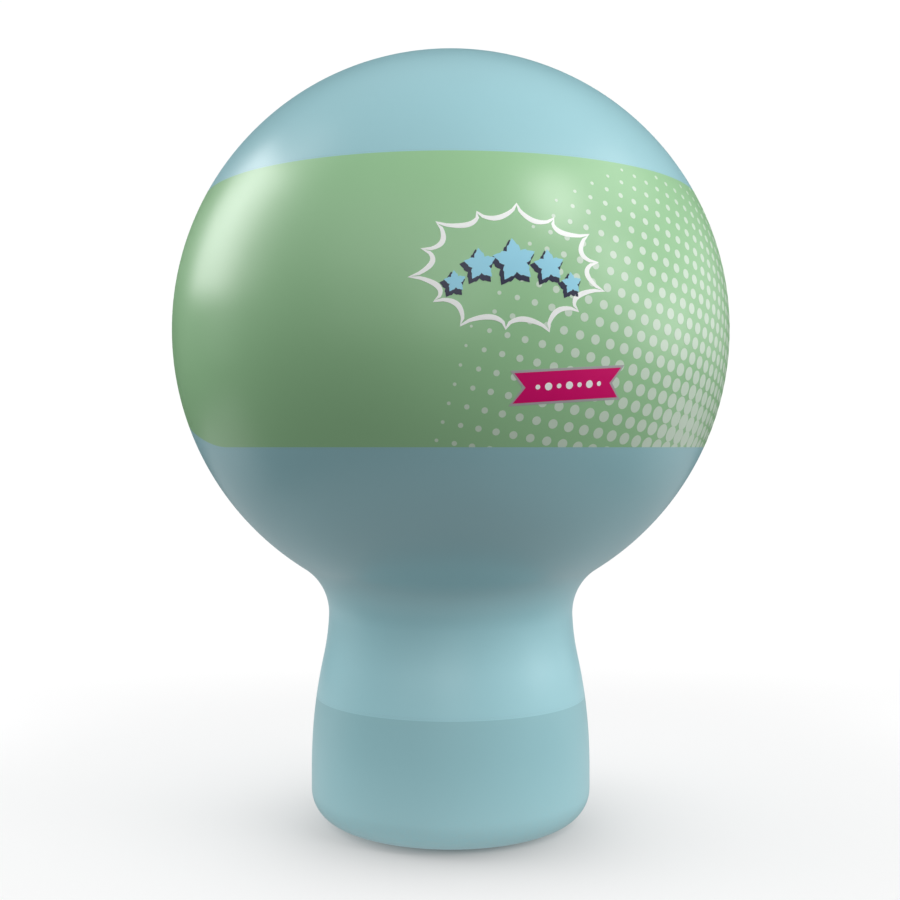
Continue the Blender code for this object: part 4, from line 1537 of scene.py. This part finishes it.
SWITCH_AT, SWITCH_HALF = (0.020, BOX_AT[1]), (0.010, 0.013)
frame_steps = [
    (0, face), (0, face + 1.6 * MM), (0.5 * MM, face + 2.2 * MM), (1.3 * MM, face + 2.2 * MM),
    (1.5 * MM, face + 0.8 * MM),
]
switch_frame = moulding(*SWITCH_HALF, 1.5 * MM, SWITCH_AT, frame_steps)
rocker_side = (
    (-11, 0.6), (-11, 5.6), (-10, 5.9), (-6, 4.9), (-1.5, 3.1), (0, 2.9), (1.5, 2.8), (6, 2.5), (10, 2.3),
    (11, 2.0), (11, 0.6),
)
rocker_loops = []
for x in (-8.2, -7.7, 7.7, 8.2):
    trim = 0.5 * MM if abs(x) > 8 else 0
    loop = []
    for z, up in rocker_side:
        depth = face + max(up * MM - trim, 0.5 * MM)
        loop.append((SWITCH_AT[0] + x * MM, depth, SWITCH_AT[1] + z * MM))
    rocker_loops.append(loop)
rocker_shape = joined(switch_frame, stack(rocker_loops))[:2]
rocker = piece("rocker_switch_moulding", rocker_shape, BLACK_PLASTIC)
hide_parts("rocker_switch")
print("switch box: socket with", len(pins), "pins, rocker")

# %% [markdown]
# ## The zip and the label
# The zip lets the air out quickly. It runs down the back of the neck: a woven tape, moulded teeth that
# hook into each other, a hood over its top end, and a slider with a pull near its foot. Beside it a blank
# label is sewn on. Every strip takes its curve from the balloon's outline.


# %% Zip tape and hood
def clipped_outline(top, low):
    """The back's stations between two heights, with one at each end."""
    inside = [station for station in back_line if low < station[1] < top]
    return [at_height(back_line, top), *inside, at_height(back_line, low)]


def skin_strip(stations, rows, turn=0.0, shape_of=None):
    """A closed strip down the back. rows are (distance across, distance out), anticlockwise round it."""
    points, faces, measures, lengths = [], [], [], [0.0]
    count = len(rows)
    for one, two in zip(stations, stations[1:]):
        lengths.append(lengths[-1] + hypot(two[0] - one[0], two[1] - one[1]))
    for station, length in zip(stations, lengths):
        share = length / lengths[-1]
        for across, out in rows:
            if shape_of:
                across, out = shape_of(share, across, out)
            points.append(skin_point(station, across / station[0] + turn, out)[0])
    for k in range(len(stations) - 1):
        for i in range(count):
            j = (i + 1) % count
            faces.append([k * count + i, k * count + j, (k + 1) * count + j, (k + 1) * count + i])
            spots = ((i, k), (i + 1, k), (i + 1, k + 1), (i, k + 1))
            measures.append([(rows[column % count][0], lengths[row]) for column, row in spots])
    for k in (0, len(stations) - 1):
        faces.append([k * count + i for i in range(count)])
        measures.append([(0, 0)] * count)
    return points, faces, measures


def flat_rows(half_width, low, high, columns, edge=0.5 * MM):
    """A strip's section: level on top, with soft edges."""
    across = [half_width * (2 * k / columns - 1) for k in range(1, columns)]
    upper = [(-half_width, high - edge), (-half_width + edge, high)]
    upper += [(x, high) for x in across if abs(x) < half_width - edge]
    upper += [(half_width - edge, high), (half_width, high - edge)]
    return upper + [(half_width, low), (-half_width, low)]


back_line = OUTLINE["lower_bowl"] + OUTLINE["neck_panel"][1:]
TAPE_HALF = 0.021
TAPE_HIGH = GAP + TRIM
tape_rows = flat_rows(TAPE_HALF, 0.1 * MM, TAPE_HIGH, 6)
tape_shape = skin_strip(clipped_outline(ZIP_TOP - 3 * MM, ZIP_BOTTOM), tape_rows)
tape = piece("zip_tape_webbing", tape_shape, ZIP_TAPE_CLOTH)
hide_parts("zip_tape")

HOOD_HEIGHT = 0.040
TEETH_LOW = 2 * GAP + TRIM
TEETH_HIGH = TEETH_LOW + 2.5 * MM


def hood_bulge(share, across, out):
    """The flap swells over the teeth, and its lower corners are round."""
    round_off = max(0, (share - 0.75) / 0.25)
    across *= 1 - 0.35 * round_off ** 2
    swell = 3.2 * MM * cos(pi / 2 * min(abs(across) / TAPE_HALF, 1)) * (0.2 + 0.8 * min(share / 0.7, 1))
    return across, out + swell


hood_shares = (-1, -0.95, -0.75, -0.5, -0.25, 0, 0.25, 0.5, 0.75, 0.95, 1)
hood_rows = [(x * TAPE_HALF, TEETH_LOW + 1.0 * MM) for x in hood_shares]
hood_rows += [(x * TAPE_HALF, TEETH_LOW) for x in (1, 0.75, 0.5, 0.25, 0, -0.25, -0.5, -0.75, -1)]
hood_stations = [at_height(back_line, ZIP_TOP - HOOD_HEIGHT * k / 14) for k in range(15)]
hood_shape = skin_strip(hood_stations, hood_rows, shape_of=hood_bulge)
hood = piece("zip_hood_cloth", hood_shape, LIGHT_BLUE_CLOTH)
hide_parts("zip_hood")

# %% Teeth, slider and pull
TOOTH_PITCH = 4.6 * MM
TEETH_TOP, TEETH_FOOT = ZIP_TOP - HOOD_HEIGHT + 5 * MM, ZIP_BOTTOM + 0.012
tooth_outline = (
    (-0.4, -1.0), (2.6, -1.0), (2.9, -0.7), (2.9, 0.7), (2.6, 1.0), (-0.4, 1.0),
    (-1.3, 1.45), (-2.2, 1.1), (-2.4, 0.0), (-2.2, -1.1), (-1.3, -1.45),
)


def back_frame(height):
    """The axes of a small thing on the back: X across, Y out of the cloth, Z up along it."""
    radius, level, outward, up = at_height(back_line, height)
    return Matrix((
        (-1, 0, 0, 0),
        (0, outward, -up, radius),
        (0, up, outward, level),
        (0, 0, 0, 1),
    ))


tooth_shapes, place, side = [], TEETH_TOP, 1
while place > TEETH_FOOT:
    at = back_frame(place)
    low = [(side * x * MM, TEETH_LOW, z * MM) for x, z in tooth_outline]
    high = [(side * x * MM, TEETH_HIGH - 0.5 * MM, z * MM) for x, z in tooth_outline]
    top = [(side * x * 0.86 * MM, TEETH_HIGH, z * 0.8 * MM) for x, z in tooth_outline]
    tooth_shapes.append(moved(stack([low, high, top]), at))
    place -= TOOTH_PITCH / 2 * at_height(back_line, place)[2]
    side = -side
teeth = piece("zip_teeth_moulded", joined(*tooth_shapes)[:2], NYLON)
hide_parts("zip_teeth")

SLIDER_HEIGHT = 0.590
SLIDER_SIZE = (0.016, 0.005, 0.030)
PULL_SIZE = (0.010, 0.002, 0.042)
reach = TEETH_HIGH + GAP


def shield(grow, y):
    """A slider's outline: broad shoulders above and a narrow tail below."""
    right = (
        (0, 15), (5, 15), (7.4, 12.5), (8, 8), (7.6, 2), (6, -4), (4.6, -9), (4.2, -13), (3, -15), (0, -15),
    )
    both = [*right, *[(-x, z) for x, z in right[-2:0:-1]]]
    return [(x * MM * grow, y, z * MM * grow) for x, z in both]


body = stack([shield(0.93, 0), shield(1, 0.5 * MM), shield(1, 2.0 * MM), shield(0.93, 2.6 * MM)])
BRIDGE_HALF = 1.6 * MM
BRIDGE_THICK = 1.2
bridge_loops = []
for along, out in ((-8.5, 2.2), (-8.0, 4.2), (-5.0, 4.9), (0.0, 5.0), (5.0, 4.9), (8.0, 4.2), (8.5, 2.2)):
    splay = 0.8 if abs(along) > 7 else 0
    outer, inner = (along - splay) * MM, (along + splay) * MM
    bridge_loops.append([
        (-BRIDGE_HALF, out * MM, outer), (BRIDGE_HALF, out * MM, outer),
        (BRIDGE_HALF, (out - BRIDGE_THICK) * MM, inner), (-BRIDGE_HALF, (out - BRIDGE_THICK) * MM, inner),
    ])
bridge = stack(bridge_loops)
slider_at = back_frame(SLIDER_HEIGHT) @ Matrix.Translation((0, reach, 0))
slider = piece("zip_slider_metal", moved(joined(body, bridge)[:2], slider_at), ZINC)
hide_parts("zip_slider")


def tab_loop(half_width, top, foot, y, sides=40):
    """A tab's outline with round ends."""
    loop = []
    for k in range(sides):
        turn = 2 * pi * k / sides
        middle = top - half_width if sin(turn) >= 0 else foot + half_width
        loop.append((half_width * cos(turn), y, middle + half_width * sin(turn)))
    return loop


def hole_loop(radius, centre, y, sides=40):
    return [(x, y, centre + z) for x, z in circle(radius, sides)]


pull_half, pull_top, pull_foot = PULL_SIZE[0] / 2, PULL_SIZE[2] / 2, -PULL_SIZE[2] / 2
thick = PULL_SIZE[1]
soft = 0.5 * MM
hole_at = pull_top - 5 * MM
pull_loops = [
    hole_loop(2.0 * MM, hole_at, soft),
    hole_loop(2.5 * MM, hole_at, 0),
    tab_loop(pull_half - soft, pull_top - soft, pull_foot + soft, 0),
    tab_loop(pull_half, pull_top, pull_foot, soft),
    tab_loop(pull_half, pull_top, pull_foot, thick - soft),
    tab_loop(pull_half - soft, pull_top - soft, pull_foot + soft, thick),
    hole_loop(2.5 * MM, hole_at, thick),
    hole_loop(2.0 * MM, hole_at, thick - soft),
]
pull_drop = PULL_SIZE[2] / 2 - SLIDER_SIZE[2] / 4
pull_at = back_frame(SLIDER_HEIGHT) @ Matrix.Translation((0, reach + SLIDER_SIZE[1] + GAP, -pull_drop))
pull = piece("zip_pull_metal", moved(stack(pull_loops, closed=True), pull_at), ZINC)
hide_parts("zip_pull")

# %% Label, and the small sewing at the back
LABEL_TURN = radians(9)


def label_curl(share, across, out):
    """The loose lower edge lifts a little, more at one corner."""
    lift = 1.6 * MM * max(0, share - 0.6) ** 2 / 0.16 * (0.6 + 0.4 * across / 0.02)
    return across, out + lift


label_rows = [(x * 0.020, GAP + 1 * MM) for x in (-1, -0.6, -0.2, 0.2, 0.6, 1)]
label_rows += [(x * 0.020, GAP) for x in (1, 0.6, 0.2, -0.2, -0.6, -1)]
label_stations = [at_height(back_line, 0.600 - 0.055 * k / 12) for k in range(13)]
label_shape = skin_strip(label_stations, label_rows, LABEL_TURN, label_curl)
label = piece("care_label_tape", label_shape, LABEL_CLOTH)
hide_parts("care_label")

small_sewing = []
for half_apart, top in ((0.0175, ZIP_TOP - 4 * MM), (0.0145, ZIP_TOP - HOOD_HEIGHT - 2 * MM)):
    for aside in (-half_apart, half_apart):
        stations = clipped_outline(top, ZIP_BOTTOM + 4 * MM)
        path = [skin_point(station, aside / station[0], TAPE_HIGH) for station in stations]
        small_sewing.append(stitches(path, closed=False))
for rho in (0.159, 0.1675):
    path = []
    for k in range(240):
        x, y, z = round_the_fan(rho, 2 * pi * k / 240, GAP + TRIM)
        path.append(((x, y, z), Vector((x, y, 0)).normalized()))
    small_sewing.append(stitches(path))
station = at_height(back_line, 0.5965)
turns = [LABEL_TURN + (k / 8 - 0.5) * 0.036 / station[0] for k in range(9)]
small_sewing.append(stitches([skin_point(station, turn, GAP + 1 * MM) for turn in turns], closed=False))
piece("small_stitches", joined(*small_sewing)[:2], THREAD)
print("zip:", len(tooth_shapes), "teeth, slider and pull; label and its sewing")
